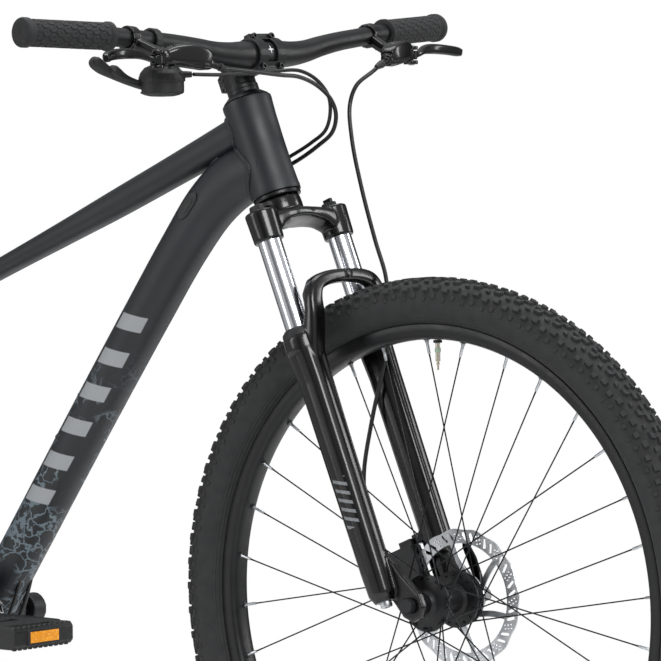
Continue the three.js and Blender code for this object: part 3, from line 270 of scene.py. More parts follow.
# black oxide steel: dark with an oily brown cast
blackSteel = finishOf("blackOxideSteel", "#17181a", "#24221f", (0.28, 0.42), metallic=0.9, driftSize=8,
    grainSize=0.4, grainHeight=0.01, wear=("#6a6c70", 0.4))
# bright steel: brushed and slightly oily
brightSteel = finishOf("brushedStainlessSteel", "#a9acb0", "#c3c6ca", (0.22, 0.36), metallic=1.0,
    driftSize=10, grainSize=0.35, grainHeight=0.012, stretch=(1, 0.2, 1))
# moulded glass-filled nylon: matt black with a spark-eroded texture
nylon = finishOf("mouldedNylon", "#0c0d0e", "#121315", (0.5, 0.62), driftSize=18, grainSize=0.45,
    grainHeight=0.05, wear=("#3a3b3e", 0.3))
# rubber compound: dull charcoal with dusty high spots
gripRubber = finishOf("gripRubberCompound", "#111214", "#17181a", (0.66, 0.8), driftSize=14, grainSize=0.5,
    grainHeight=0.05, wear=("#2c2d30", 0.4), sheen=0.03)
# extruded polyamide hose: smooth black with a soft line of light
hoseCover = finishOf("extrudedHoseCover", "#08090a", "#0d0e10", (0.34, 0.44), driftSize=40, grainSize=0.7,
    grainHeight=0.012)
# vulcanised rubber: dull black, greyer where the mould or the road has rubbed it
tyreRubber = finishOf("vulcanisedTyreRubber", "#0f1011", "#151617", (0.66, 0.82), driftSize=35,
    grainSize=0.7, grainHeight=0.06, wear=("#2a2b2d", 0.3), sheen=0.03)
# embossed vinyl: soft black with a fine leather grain
saddleVinyl = finishOf("embossedSaddleVinyl", "#0f1011", "#151618", (0.45, 0.58), driftSize=50,
    grainSize=1.3, grainHeight=0.12, sheen=0.1)
# moulded acrylic reflector: amber prisms under a smooth face
amberReflector = finishOf("mouldedAmberAcrylic", "#f0a01c", "#e08c0a", (0.08, 0.16), coat=0.8,
    coatRough=0.03, driftSize=6, grainSize=3.0, grainHeight=0.5)
# nickelled brass: warm pale metal on the valve stem
brass = finishOf("nickelledBrass", "#c9c2ae", "#d8d2c2", (0.22, 0.32), metallic=1.0, driftSize=6,
    grainSize=0.4, grainHeight=0.01)
# moulded plastic ring on the valve: pale grey green
greenPlastic = finishOf("mouldedGreenPlastic", "#8fa48f", "#9cb09a", (0.4, 0.5), driftSize=6, grainSize=0.4,
    grainHeight=0.02)

tubeFoot = spot(-60, 0, 416)
tubeRun = (spot(190, 0, 768) - spot(-60, 0, 416)).normalized()
tubeSquare = Vector((-tubeRun.z, 0, tubeRun.x))
tree = veinPaint["tree"]
distance = along(veinPaint, tubeFoot, tubeRun)
height = along(veinPaint, tubeFoot, tubeSquare)
# the veins bend every 22 mm, enclose cells about 18 mm across and keep to patches about 70 mm across
wander = node(tree, "ShaderNodeTexNoise", {"Scale": 45.0, "Detail": 4.0},
    {"Vector": veinPaint["place"].outputs["Object"]})
bent = node(tree, "ShaderNodeMix", {"data_type": "VECTOR", "Factor": 0.035},
    {"A": veinPaint["place"].outputs["Object"], "B": wander.outputs["Color"]})
cells = node(tree, "ShaderNodeTexVoronoi", {"feature": "DISTANCE_TO_EDGE", "Scale": 55.0},
    {"Vector": bent.outputs[1]})
lines = node(tree, "ShaderNodeMapRange", {1: 0.07, 2: 0.03, 3: 0.0, 4: 1.0},
    {0: cells.outputs["Distance"]}).outputs[0]
patches = node(tree, "ShaderNodeTexNoise", {"Scale": 14.0, "Detail": 2.0},
    {"Vector": veinPaint["place"].outputs["Object"]})
patchMask = node(tree, "ShaderNodeMapRange", {1: 0.42, 2: 0.48}, {0: patches.outputs[0]}).outputs[0]
reach = node(tree, "ShaderNodeMapRange", {1: 0.3, 2: 0.16, 3: 0.0, 4: 1.0}, {0: distance}).outputs[0]
maskedColour(veinPaint,
    node(tree, "ShaderNodeMath",
        {"operation": "MULTIPLY",
            0: node(tree, "ShaderNodeMath", {"operation": "MULTIPLY", 0: lines, 1: patchMask}).outputs[0],
            1: reach}).outputs[0], "#5f6c74")
# flecks of the same grey, about 30 mm across, lie low on the tube
blots = node(tree, "ShaderNodeTexNoise", {"Scale": 34.0, "Detail": 5.0}, {"Vector": bent.outputs[1]})
blotMask = node(tree, "ShaderNodeMapRange", {1: 0.6, 2: 0.615}, {0: blots.outputs[0]}).outputs[0]
lowest = node(tree, "ShaderNodeMapRange", {1: 0.13, 2: 0.03, 3: 0.0, 4: 1.0}, {0: distance}).outputs[0]
maskedColour(veinPaint,
    node(tree, "ShaderNodeMath", {"operation": "MULTIPLY", 0: blotMask, 1: lowest}).outputs[0], "#56646c")
# plain slanted bars, one every 52 mm
sheared = node(tree, "ShaderNodeMath",
    {"operation": "ADD", 0: distance,
        1: node(tree, "ShaderNodeMath",
            {"operation": "MULTIPLY", 0: height, 1: 0.45}).outputs[0]}).outputs[0]
step = node(tree, "ShaderNodeMath",
    {"operation": "FRACT",
        0: node(tree, "ShaderNodeMath",
            {"operation": "DIVIDE",
                0: node(tree, "ShaderNodeMath", {"operation": "ADD", 0: sheared, 1: 1.0}).outputs[0],
                1: 0.052}).outputs[0]}).outputs[0]
bars = node(tree, "ShaderNodeMath",
    {"operation": "MULTIPLY", 0: between(tree, step, 0.2, 0.62, 0.01),
        1: between(tree, sheared, 0.045, 0.335)}).outputs[0]
maskedColour(veinPaint,
    node(tree, "ShaderNodeMath",
        {"operation": "MULTIPLY", 0: bars, 1: between(tree, height, -0.017, 0.017)}).outputs[0], "#8f9295")

tree = legPaint["tree"]
legUp = along(legPaint, steerFoot, steerUp)
legAhead = along(legPaint, steerFoot, steerForward)
legSide = along(legPaint, Vector((0, 0, 0)), left)
# the fork legs' own small bars, one every 11 mm, on their outer faces
slant = node(tree, "ShaderNodeMath",
    {"operation": "ADD", 0: legUp,
        1: node(tree, "ShaderNodeMath",
            {"operation": "MULTIPLY", 0: legAhead, 1: 0.5}).outputs[0]}).outputs[0]
legBars = between(tree,
    node(tree, "ShaderNodeMath",
        {"operation": "FRACT",
            0: node(tree, "ShaderNodeMath",
                {"operation": "DIVIDE", 0: slant, 1: 0.011}).outputs[0]}).outputs[0], 0.25, 0.62, 0.02)
legZone = node(tree, "ShaderNodeMath",
    {"operation": "MULTIPLY", 0: between(tree, legUp, 0.105, 0.165),
        1: between(tree, legAhead, 0.012, 0.030)}).outputs[0]
outward = node(tree, "ShaderNodeMath",
    {"operation": "GREATER_THAN",
        0: node(tree, "ShaderNodeMath", {"operation": "ABSOLUTE", 0: legSide}).outputs[0],
        1: 0.07}).outputs[0]
maskedColour(legPaint,
    node(tree, "ShaderNodeMath",
        {"operation": "MULTIPLY",
            0: node(tree, "ShaderNodeMath", {"operation": "MULTIPLY", 0: legBars, 1: legZone}).outputs[0],
            1: outward}).outputs[0], "#74777a")

tree = tyreRubber["tree"]
# the tyre's side is a shade paler than its tread, with moulded ribs 2.5 mm apart by the rim
axes = node(tree, "ShaderNodeSeparateXYZ", links={0: tyreRubber["place"].outputs["Object"]})
fromHubX = node(tree, "ShaderNodeMath",
    {"operation": "SUBTRACT",
        0: node(tree, "ShaderNodeMath", {"operation": "ABSOLUTE", 0: axes.outputs["X"]}).outputs[0],
        1: 0.573}).outputs[0]
fromHubZ = node(tree, "ShaderNodeMath", {"operation": "SUBTRACT", 0: axes.outputs["Z"], 1: 0.371}).outputs[0]
tyreRadius = node(tree, "ShaderNodeMath",
    {"operation": "SQRT",
        0: node(tree, "ShaderNodeMath",
            {"operation": "ADD",
                0: node(tree, "ShaderNodeMath",
                    {"operation": "MULTIPLY", 0: fromHubX, 1: fromHubX}).outputs[0],
                1: node(tree, "ShaderNodeMath",
                    {"operation": "MULTIPLY", 0: fromHubZ,
                        1: fromHubZ}).outputs[0]}).outputs[0]}).outputs[0]
maskedColour(tyreRubber, between(tree, tyreRadius, 0.3, 0.3475, 0.001), "#1b1c1d")
ribs = node(tree, "ShaderNodeMath",
    {"operation": "MULTIPLY",
        0: between(tree,
            node(tree, "ShaderNodeMath",
                {"operation": "FRACT",
                    0: node(tree, "ShaderNodeMath",
                        {"operation": "MULTIPLY", 0: tyreRadius, 1: 400.0}).outputs[0]}).outputs[0], 0.1,
            0.5, 0.1), 1: between(tree, tyreRadius, 0.318, 0.326, 0.001)}).outputs[0]
ribBump = node(tree, "ShaderNodeBump", {"Strength": 0.8, "Distance": 0.0004},
    {"Height": ribs, "Normal": tyreRubber["bump"].outputs[0]})
tree.links.new(ribBump.outputs[0], tyreRubber["shader"].inputs["Normal"])
print("materials made")


# shapes are (points in metres, faces); pieces are made of one or more of them
def merged(shapes):
    points, faces = [], []
    for somePoints, someFaces in shapes:
        shift = len(points)
        points += [tuple(p) for p in somePoints]
        faces += [tuple(i + shift for i in face) for face in someFaces]
    return points, faces


def flipped(shape):  # the mirror image on the other side of the bicycle
    return [(p[0], -p[1], p[2]) for p in shape[0]], [tuple(reversed(face)) for face in shape[1]]


def frameOf(axis, guide=None):  # two directions square to an axis
    axis = axis.normalized()
    guide = guide if guide is not None else (left if abs(axis.y) < 0.9 else Vector((1, 0, 0)))
    first = (guide - axis * guide.dot(axis)).normalized()
    return first, axis.cross(first)


def lathe(outline, origin, axis, steps=96):  # turns a (radius, along) outline in mm about an axis
    first, second = frameOf(axis)
    axis = axis.normalized()
    points, rings, faces = [], [], []
    for radius, run in outline:
        centre = origin + axis * run * 0.001
        count = 1 if radius < 1e-6 else steps
        rings.append([len(points) + k for k in range(count)])
        for k in range(count):
            turn = 2 * math.pi * k / steps
            points.append(centre + (first * math.cos(turn) + second * math.sin(turn)) * radius * 0.001)
    if outline[0] == outline[-1] and outline[0][0] > 0:
        points = points[: rings[-1][0]]
        rings[-1] = rings[0]
    for low, high in zip(rings, rings[1:]):
        for k in range(steps):
            corners = (low[k % len(low)], low[(k + 1) % len(low)], high[(k + 1) % len(high)],
                high[k % len(high)])
            face = tuple(dict.fromkeys(corners))
            if len(face) > 2:
                faces.append(face)
    return points, faces


# a round bar between two places, radii in mm
def rod(start, end, radius, endRadius=None, steps=24, chamfer=0.0):
    length = (end - start).length * 1000
    endRadius = radius if endRadius is None else endRadius
    outline = [(0, 0), (radius - chamfer, 0), (radius, chamfer), (endRadius, length - chamfer),
        (endRadius - chamfer, length), (0, length)]
    if chamfer == 0:
        outline = [(0, 0), (radius, 0), (endRadius, length), (0, length)]
    return lathe(outline, start, end - start, steps)


def box(centre, size, alongAxis=Vector((1, 0, 0)), guide=left, taper=1.0):  # a block in mm, long side first
    forward = alongAxis.normalized()
    across, up = frameOf(forward, guide)
    points = []
    for sx in (-0.5, 0.5):
        for sy, sz in ((-0.5, -0.5), (0.5, -0.5), (0.5, 0.5), (-0.5, 0.5)):
            shrink = taper if sx > 0 else 1.0
            points.append(centre
                + (forward * sx * size[0] + across * sy * size[1] * shrink
                    + up * sz * size[2] * shrink) * 0.001)
    faces = [(0, 3, 2, 1), (4, 5, 6, 7), (0, 1, 5, 4), (1, 2, 6, 5), (2, 3, 7, 6), (3, 0, 4, 7)]
    return points, faces


def smoothRoute(points, perSpan=8):  # a Catmull-Rom path through points, spaced by distance
    values = np.array([tuple(p) for p in points], float)
    values = np.vstack([2 * values[0] - values[1], values, 2 * values[-1] - values[-2]])
    result = []
    for i in range(1, len(values) - 2):
        a, b, c, d = values[i - 1 : i + 3]
        times = [0.0]
        for p, q in ((a, b), (b, c), (c, d)):
            gapLength = np.linalg.norm(np.subtract(q, p)[:3])
            times.append(times[-1] + max(gapLength, 1e-9) ** 0.5)
        t0, t1, t2, t3 = times
        for k in range(perSpan):
            t = t1 + (t2 - t1) * k / perSpan
            ab = (t1 - t) / (t1 - t0) * a + (t - t0) / (t1 - t0) * b
            bc = (t2 - t) / (t2 - t1) * b + (t - t1) / (t2 - t1) * c
            cd = (t3 - t) / (t3 - t2) * c + (t - t2) / (t3 - t2) * d
            abc = (t2 - t) / (t2 - t0) * ab + (t - t0) / (t2 - t0) * bc
            bcd = (t3 - t) / (t3 - t1) * bc + (t - t1) / (t3 - t1) * cd
            result.append((t2 - t) / (t2 - t1) * abc + (t - t1) / (t2 - t1) * bcd)
    result.append(values[-2])
    return np.array(result)


def sweep(stations, sides=40, power=2.0, guide=left, perSpan=8):  # (x, y, z, wide, high) half sizes in mm
    rows = smoothRoute(stations, perSpan) if perSpan > 1 else np.array(stations, float)
    centres = [Vector(row[:3]) * 0.001 for row in rows]
    points, faces = [], []
    turns = evenTurns(sides)
    cosines = np.sign(np.cos(turns)) * np.abs(np.cos(turns)) ** (2 / power)
    sines = np.sign(np.sin(turns)) * np.abs(np.sin(turns)) ** (2 / power)
    across = None
    for i, centre in enumerate(centres):
        run = (centres[min(i + 1, len(centres) - 1)] - centres[max(i - 1, 0)]).normalized()
        base = guide if guide is not None else (across if across is not None else frameOf(run)[0])
        across = (base - run * base.dot(run)).normalized()
        up = run.cross(across)
        for c, s in zip(cosines, sines):
            points.append(centre + (across * c * rows[i][3] + up * s * rows[i][4]) * 0.001)
    for i in range(len(centres) - 1):
        for k in range(sides):
            nextK = (k + 1) % sides
            faces.append((i * sides + k, i * sides + nextK, (i + 1) * sides + nextK, (i + 1) * sides + k))
    faces.append(tuple(reversed(range(sides))))
    faces.append(tuple((len(centres) - 1) * sides + k for k in range(sides)))
    return points, faces


def cutPlate(outline, holes, thickness, place, edge=0.0):  # a flat sheet cut to an outline with holes, in mm
    curve = bpy.data.curves.new("cutter", "CURVE")
    curve.dimensions = "2D"
    curve.fill_mode = "BOTH"
    curve.extrude = thickness / 2 - edge
    curve.bevel_depth = edge
    curve.bevel_resolution = 0
    for loop in [outline, *holes]:
        spline = curve.splines.new("POLY")
        spline.points.add(len(loop) - 1)
        spline.points.foreach_set("co", [value for x, y in loop for value in (x, y, 0, 1)])
        spline.use_cyclic_u = True
    holder = bpy.data.objects.new("cutter", curve)
    mesh = bpy.data.meshes.new_from_object(holder)
    work = bmesh.new()
    work.from_mesh(mesh)
    bmesh.ops.remove_doubles(work, verts=work.verts, dist=1e-4)
    shape = [place(*vertex.co) for vertex in work.verts], [tuple(v.index for v in face.verts)
        for face in work.faces]
    work.free()
    bpy.data.objects.remove(holder)
    bpy.data.meshes.remove(mesh)
    return shape


def sidePlace(centre, y):  # plate coordinates to the bicycle's side view, x forward and z up
    return lambda x, z, depth: Vector((centre.x + x * 0.001, y * 0.001 - depth * 0.001, centre.z + z * 0.001))


def circle(x, y, radius, count=24):
    turns = evenTurns(count)
    return [(x + radius * math.cos(t), y + radius * math.sin(t)) for t in turns]


def cadShape(name):  # the plain solid of a part, to be worked up
    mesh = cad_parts[name].data
    return [tuple(v.co) for v in mesh.vertices], [tuple(p.vertices) for p in mesh.polygons]


def applyModifiers(obj):
    graph = bpy.context.evaluated_depsgraph_get()
    mesh = bpy.data.meshes.new_from_object(obj.evaluated_get(graph))
    obj.modifiers.clear()
    old = obj.data
    obj.data = mesh
    bpy.data.meshes.remove(old)


def shadeSmooth(mesh, sharp):
    mesh.polygons.foreach_set("use_smooth", [True] * len(mesh.polygons))
    mesh.set_sharp_from_angle(angle=math.radians(sharp))


def piece(name, body, look, shapes, stands=(), voxel=0.0, soften=6, bevel=0.0, sharp=34,
        rides=True):
    points, faces = merged(shapes)
    mesh = bpy.data.meshes.new(name)
    mesh.from_pydata(points, [], faces)
    mesh.validate()
    obj = bpy.data.objects.new(name, mesh)
    scene.collection.objects.link(obj)
    if not voxel:
        work = bmesh.new()
        work.from_mesh(mesh)
        bmesh.ops.remove_doubles(work, verts=work.verts, dist=1e-7)
        bmesh.ops.recalc_face_normals(work, faces=work.faces)
        work.to_mesh(mesh)
        work.free()
    else:
        remesh = obj.modifiers.new("remesh", "REMESH")
        remesh.mode = "VOXEL"
        remesh.voxel_size = voxel * 0.001
        rounding = obj.modifiers.new("rounding", "SMOOTH")
        rounding.factor = 0.5
        rounding.iterations = soften
        applyModifiers(obj)
    obj.data.materials.clear()
    obj.data.materials.append(look["material"])
    if bevel:
        rounded = obj.modifiers.new("roundedEdges", "BEVEL")
        rounded.width = bevel * 0.001
        rounded.segments = 2
        rounded.limit_method = "ANGLE"
        rounded.angle_limit = math.radians(sharp)
    shadeSmooth(obj.data, 180 if voxel else sharp)
    if rides:
        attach(obj, body)
    if stands:
        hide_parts(*stands)
    return obj


def boltHead(at, axis, radius, height, socket=0.55):  # a cap screw with its hexagon socket
    first, second = frameOf(axis)
    axis = axis.normalized()
    outline = [(0, 0), (radius, 0), (radius, height * 0.75), (radius * 0.9, height)]
    points, faces = lathe(outline, at, axis, 36)
    ring = list(range(len(points) - 36, len(points)))
    flat = []
    for k in range(36):  # the socket's wall follows a hexagon
        turn = 2 * math.pi * k / 36
        reachOut = math.cos(math.pi / 6) / math.cos((turn % (math.pi / 3)) - math.pi / 6)
        flat.append(at
            + (first * math.cos(turn) + second * math.sin(turn)) * radius * socket * reachOut * 0.001
            + axis * height * 0.001)
    top = len(points)
    points += flat
    low = len(points)
    points += [p - axis * height * 0.7 * 0.001 for p in flat]
    points.append(at + axis * height * 0.3 * 0.001)
    for k in range(36):
        n = (k + 1) % 36
        faces += [(ring[k], ring[n], top + n, top + k), (top + k, top + n, low + n, low + k),
            (low + k, low + n, len(points) - 1)]
    return points, faces


# hoses and shift housing: held at both ends and along the frame; here each is one fixed sweep along its route
hoseRoutes = {
    "frontBrake": [(373, 143.8, 981), (370, 132, 973), (359, 117, 958), (354, 110, 935), (364, 101, 894),
        (389, 88, 836), (421, 72, 778), (448, 58, 735), (459, 47, 699), (461, 41, 653), (440, 40, 571),
        (426, 42, 512), (424, 45, 480), (428.5, 48, 447), (437, 50, 418), (449.5, 50, 400), (463, 50, 393),
        (473, 50, 391.6),],
    "rearBrake": [(373, -143.8, 981), (373, -95, 977), (376, -45, 972), (377, -10, 969), (378, 22, 958),
        (381, 42, 942), (380, 52, 924), (371, 56, 904), (351, 54, 888), (322, 47, 869), (285, 41, 853),
        (250, 35, 838), (226, 26, 823), (205, 12, 796), (150, 8, 713), (30, 8, 545), (-40, 9, 440),
        (-62, 9, 392), (-74, 10, 350), (-90, 11, 314), (-110, 12, 291), (-140, 15, 284), (-175, 26, 292),
        (-205, 36, 302), (-245, 46, 308), (-330, 54, 320), (-400, 60, 330), (-428, 74, 342),
        (-445, 77, 362), (-461, 68, 384),],
    "shift": [(334.4, -148.8, 974), (338, -105, 973), (344, -60, 974), (348, -20, 976), (359, 12, 976),
        (368, 32, 965), (375, 44, 947), (373, 50, 927), (363, 53, 906), (345, 50, 892), (321, 43, 877),
        (284, 36, 859), (246, 29, 842), (220, 20, 824), (198, 4, 792), (142, -2, 708), (22, -6, 540),
        (-44, -9, 436), (-63, -9, 391), (-74, -10, 350), (-90, -11, 314), (-110, -12, 291),
        (-140, -15, 284), (-175, -26, 292), (-205, -36, 302), (-245, -46, 308), (-330, -54, 320),
        (-440, -62, 335), (-490, -71, 334), (-525, -81, 328), (-546, -84, 325),],}


def hosePiece(name, route, radius, stands, bodies, start, end):
    stations = [(x, y, z, radius, radius) for x, y, z in route]
    obj = piece(name, bodies[0], hoseCover, [sweep(stations, 16, guide=None, perSpan=8)],
        stands, sharp=60, rides=False)
    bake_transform(obj)


bendZone = ((0.35, 0, 0.965), (0.35, 0, 0.85))
hosePiece("frontBrakeHose", hoseRoutes["frontBrake"], 2.5, ["front_brake_hose"],
    ("steering", "fork_lowers"), (0.36, 0.1, 0.93), (0.459, 0.045, 0.69))
hosePiece("rearBrakeHose", hoseRoutes["rearBrake"], 2.5, ["rear_brake_hose"], ("steering", "frame"),
    *bendZone)
hosePiece("shiftHousing", hoseRoutes["shift"], 2.2, ["shift_housing"], ("steering", "frame"), *bendZone)
print("hoses made")

# main tubes: hydroformed aluminium, each drawn to its own section and welded to the head tube
mainTube = {"top": [(-243, 0, 677, 17, 11), (-107, 0, 735.3, 17, 11.9), (0, 0, 781, 17.5, 14.3),
        (84.5, 0, 817.6, 18, 16.8), (170, 0, 855.5, 19, 18), (240, 0, 887, 21, 19), (299, 0, 914, 23, 20)],
    "down": [(-120, 0, 330, 27, 27), (-60, 0, 416, 27.2, 27.2), (40, 0, 559.6, 27.5, 27.5),
        (130, 0, 686, 28, 28), (190, 0, 768, 28, 29), (234, 0, 820, 28, 32), (274, 0, 850, 28, 34),
        (325, 0, 868, 28, 33)], "beadRadius": 2.9, "ripple": 0.16, "rippleLength": 3.2,}
topShape = sweep(mainTube["top"], 48, 2.3, perSpan=14)
downShape = sweep(mainTube["down"], 48, 2.15, perSpan=14)
headOutline = [(20, 517.9), (26.5, 517.7), (29.6, 518.6), (29.9, 522), (29.3, 528), (28.6, 545),
    (28.2, 575), (28.6, 610), (29.3, 626), (29.7, 631), (29.4, 634.6), (26.5, 635.7), (20, 635.5),
    (20, 517.9)]
headShape = lathe(headOutline, steerFoot, steerUp, 96)
seatShape = lathe([(16.3, 20), (18.5, 20), (18.5, 449), (17.6, 450), (16.3, 450), (16.3, 20)],
    bottomBracket, seatUp, 72)
shellShape = lathe(
    [(16, -36.4), (20.2, -36.5), (21, -35.7), (21, 35.7), (20.2, 36.5), (16, 36.4), (16, -36.4)],
    bottomBracket, left, 72)


def treeOf(shape):
    return BVHTree.FromPolygons([Vector(p) for p in shape[0]], [tuple(f) for f in shape[1]])


# a rippled bead where a tube's long lines meet another tube
def weldBead(shape, sides, target, radius, fromEnd=False):
    points = [Vector(p) for p in shape[0]]
    rows = len(points) // sides
    found = []
    other = treeOf(target)
    for k in range(sides):
        order = range(rows - 1, 0, -1) if fromEnd else range(rows - 1)
        hitPlace = None
        for i in order:
            a, b = points[i * sides + k], points[(i - 1 if fromEnd else i + 1) * sides + k]
            hit = other.ray_cast(a, (b - a).normalized(), (b - a).length)
            if hit[0] is not None:
                hitPlace = hit[0]
                if not fromEnd:
                    break
        if hitPlace is not None:
            found.append(hitPlace)
    if len(found) < 8:
        return [], []
    loop = [tuple(p * 1000) for p in found]
    closed = (found[0] - found[-1]).length < 0.02
    if closed:
        loop = [*loop, loop[0], loop[1]]
    rows = smoothRoute([(*p, radius, radius) for p in loop], 10)
    lengths = np.concatenate([[0], np.cumsum(np.linalg.norm(np.diff(rows[:, :3], axis=0), axis=1))])
    even = np.arange(0, lengths[-1], 0.75)
    rows = np.column_stack([np.interp(even, lengths, rows[:, i]) for i in range(5)])
    # laid coin on coin, about 3 mm apart
    ripple = 1 + mainTube["ripple"] * np.abs(np.sin(np.pi * even / mainTube["rippleLength"]))
    rows[:, 3] *= ripple
    rows[:, 4] *= ripple
    return sweep(rows, 10, guide=None, perSpan=1)


bead = mainTube["beadRadius"]
piece("headTube", "frame", framePaint, [headShape], ["head_tube"], sharp=50)
piece("topTube", "frame", framePaint, [topShape], ["top_tube"], sharp=60)
bossFoot = [spot(10, 0, 517.5), spot(47, 0, 569.5)]
bossOut = Vector((-0.8137, 0, 0.5812))
bossRings = [lathe([(2.6, 26), (5, 26), (5, 29.4), (4.4, 30), (2.6, 30), (2.6, 26)], at, bossOut, 32)
    for at in bossFoot]
piece("downTube", "frame", veinPaint, [downShape], ["down_tube"], sharp=60)
piece("bottleBosses", "frame", blackSteel, bossRings, sharp=30)
piece("bottleScrews", "frame", blackSteel,
    [boltHead(at + bossOut * 0.0296, bossOut, 4.2, 2.4) for at in bossFoot])
welds = [
    weldBead(topShape, 48, headShape, bead),
    weldBead(downShape, 48, headShape, bead),
    weldBead(topShape, 48, seatShape, bead * 0.85, True),
    weldBead(downShape, 48, shellShape, bead, True),
    weldBead(topShape, 48, downShape, bead * 0.8),
]
piece("mainWelds", "frame", framePaint, welds, sharp=70)

collarOutline = [(18.7, 432), (21.2, 432), (21.7, 432.6), (21.7, 449.4), (21.2, 450), (18.7, 450),
    (18.7, 432)]
collar = lathe(collarOutline, bottomBracket, seatUp, 72)
ear = box(onSeatTube(441) + spot(-22, 0, -7), (12, 14, 12), seatUp)
piece("seatTube", "frame", framePaint, [seatShape, shellShape], ["seat_tube"], sharp=50)
piece("seatCollar", "frame", blackAlloy, [collar, ear], bevel=0.6)
piece("seatCollarBolt", "frame", blackSteel,
    [boltHead(onSeatTube(441) + spot(-22, -7, -7), -left, 3.6, 3.4)])
print("main tubes made")

# stays: tapered round tubes, curved in at the wheel, with flat forged ends
stayPlace = {"chain": [(-148, 24, 313, 8, 12), (-175, 30, 315, 8, 12), (-205, 37, 318, 8.2, 11),
        (-245, 46, 322, 8.6, 10.5), (-330, 54, 334, 8.6, 10), (-450, 62.5, 350, 8.2, 9.5),
        (-520, 69, 361, 6, 9.5), (-560, 71.4, 368, 3.6, 10)],}
for word, side in (("left", 1), ("right", -1)):
    stations = [(x, side * y, z, wide, tall) for x, y, z, wide, tall in stayPlace["chain"]]
    tube = sweep(stations, 36, perSpan=10)
    shapes = [cadShape(f"chain_stay_{word}"), tube]
    piece(f"{word}ChainStay", "frame", framePaint, shapes, [f"chain_stay_{word}"], voxel=1.3,
        soften=5)
    piece(f"{word}SeatStay", "frame", framePaint, [cadShape(f"seat_stay_{word}")],
        [f"seat_stay_{word}"], voxel=1.3, soften=8)
print("stays made")

# fork: chromed stanchions between a forged crown and one-piece cast lowers


def legAt(up, side, ahead=stanchionPlace["ahead"]):
    return onSteer(up, ahead, side * stanchionPlace["spread"])


forkPlace = {
    "crown": [(-66, 472, 19.4, 13.5, 17), (-57, 474.5, 19.2, 14.5, 15.5), (-49, 477.5, 18.6, 15.5, 12.8),
        (-40, 481, 17, 17, 9.8), (-29, 483.8, 14, 20, 8.2), (-15, 485.4, 10.5, 24, 7.8),
        (0, 486, 9, 25.5, 7.8)],
    "arch": [(296, 27, -62.5, 11, 10), (318, 31, -62, 12.2, 12), (338, 39.5, -61, 12.6, 11),
        (357, 47.6, -60, 12.2, 9), (374, 50.6, -58, 11, 8.8), (387, 53, -51, 9.6, 8.8),
        (393, 55.5, -35, 8.4, 8.4), (395.5, 57, 0, 7.6, 8.6)], "crownVoxel": 1.0, "lowersVoxel": 1.1,}
crownRows = [*forkPlace["crown"], *[(-row[0], *row[1:]) for row in reversed(forkPlace["crown"][:-1])]]
crownArch = [(*(onSteer(up, ahead, y) * 1000), deep, tall) for y, up, ahead, deep, tall in crownRows]
crownShapes = [sweep(crownArch, 44, 3.0, guide=steerForward, perSpan=8)]
crownShapes.append(
    lathe([(0, 480), (21, 480), (24, 482), (25.6, 490), (26, 500), (25.4, 509), (23.6, 512), (0, 512)],
        steerFoot, steerUp, 72))
for side in (1, -1):
    crownShapes.append(
        lathe([(0, 454), (17.3, 454), (17.9, 456), (18.6, 480), (19.0, 489), (18.0, 491), (0, 491)],
            legAt(0, side), steerUp, 64))
piece("forkCrown", "steering", glossBlack, crownShapes, ["fork_crown"],
    voxel=forkPlace["crownVoxel"], soften=16)
piece("steererFoot", "steering", brightSteel,
    [lathe([(10.5, 478.6), (15.6, 478.6), (16.2, 479.2), (16.2, 481), (10.5, 481), (10.5, 478.6)],
            steerFoot, steerUp, 64)], sharp=25)
piece("steererTube", "steering", brightSteel,
    [lathe([(11.6, 500), (14.3, 500), (14.3, 687), (11.6, 687), (11.6, 500)], steerFoot, steerUp, 48)],
    sharp=25)
raceOutline = [(24.4, 512), (27.8, 512), (28.3, 513), (28.3, 515.8), (27.2, 516.9), (24.4, 516.9),
    (24.4, 512)]
piece("crownRace", "steering", blackSteel, [lathe(raceOutline, steerFoot, steerUp, 96)],
    sharp=25)
cupOutline = [(21, 517.0), (28.9, 517.0), (29.6, 517.5), (29.6, 519.0), (21, 519.4), (21, 517.0)]
piece("lowerHeadsetCup", "frame", blackAlloy, [lathe(cupOutline, steerFoot, steerUp, 96)],
    sharp=25)
for word, side in (("left", 1), ("right", -1)):
    outline = [(11.5, 165), (13.7, 165.4), (14, 166), (14, 487.6), (13.6, 488), (11.5, 488), (11.5, 165)]
    tube = lathe(outline, legAt(0, side), steerUp, 96)
    piece(f"{word}Stanchion", "steering", hardChrome, [tube], [f"stanchion_{word}"], sharp=25)
    seal = [(14.15, 336), (19.6, 336), (19.9, 337), (19.9, 341), (19.0, 343.6), (17.2, 344.6),
        (16.4, 346.2), (15.0, 347.0), (14.15, 346.4), (14.15, 336)]
    piece(f"{word}WiperSeal", "fork_lowers", nylon,
        [lathe(seal, legAt(0, side), steerUp, 96)], sharp=40)
bushes = [
    lathe([(16.5, 318), (20.6, 319), (21.0, 322), (21.0, 333), (20.4, 336.4), (16.5, 336.6), (16.5, 318)],
        legAt(0, side, 19.6), steerUp, 64) for side in (1, -1)]
archRows = [*forkPlace["arch"],
    *[(up, ahead, -y, wide, deep) for up, ahead, y, wide, deep in reversed(forkPlace["arch"][:-1])]]
archBand = sweep([(*(onSteer(up, ahead, y) * 1000), deep, wide) for up, ahead, y, wide, deep in archRows],
    36, 3.0, guide=steerForward, perSpan=8)
archBoss = rod(onSteer(395, 60), onSteer(395, 66.5), 4.8)
footRing = [
    lathe([(4, 14), (12.5, 14.5), (13.2, 17), (13.2, 22), (4, 22), (4, 14)], legAt(0, side), steerUp, 48)
    for side in (1, -1)]
piece("forkLowers", "fork_lowers", legPaint,
    [cadShape("fork_lowers"), *bushes, archBand, archBoss, *footRing], ["fork_lowers"],
    voxel=forkPlace["lowersVoxel"], soften=12)
footBolts = [boltHead(legAt(15.5, side), -steerUp, 7.0, 7.5) for side in (1, -1)]
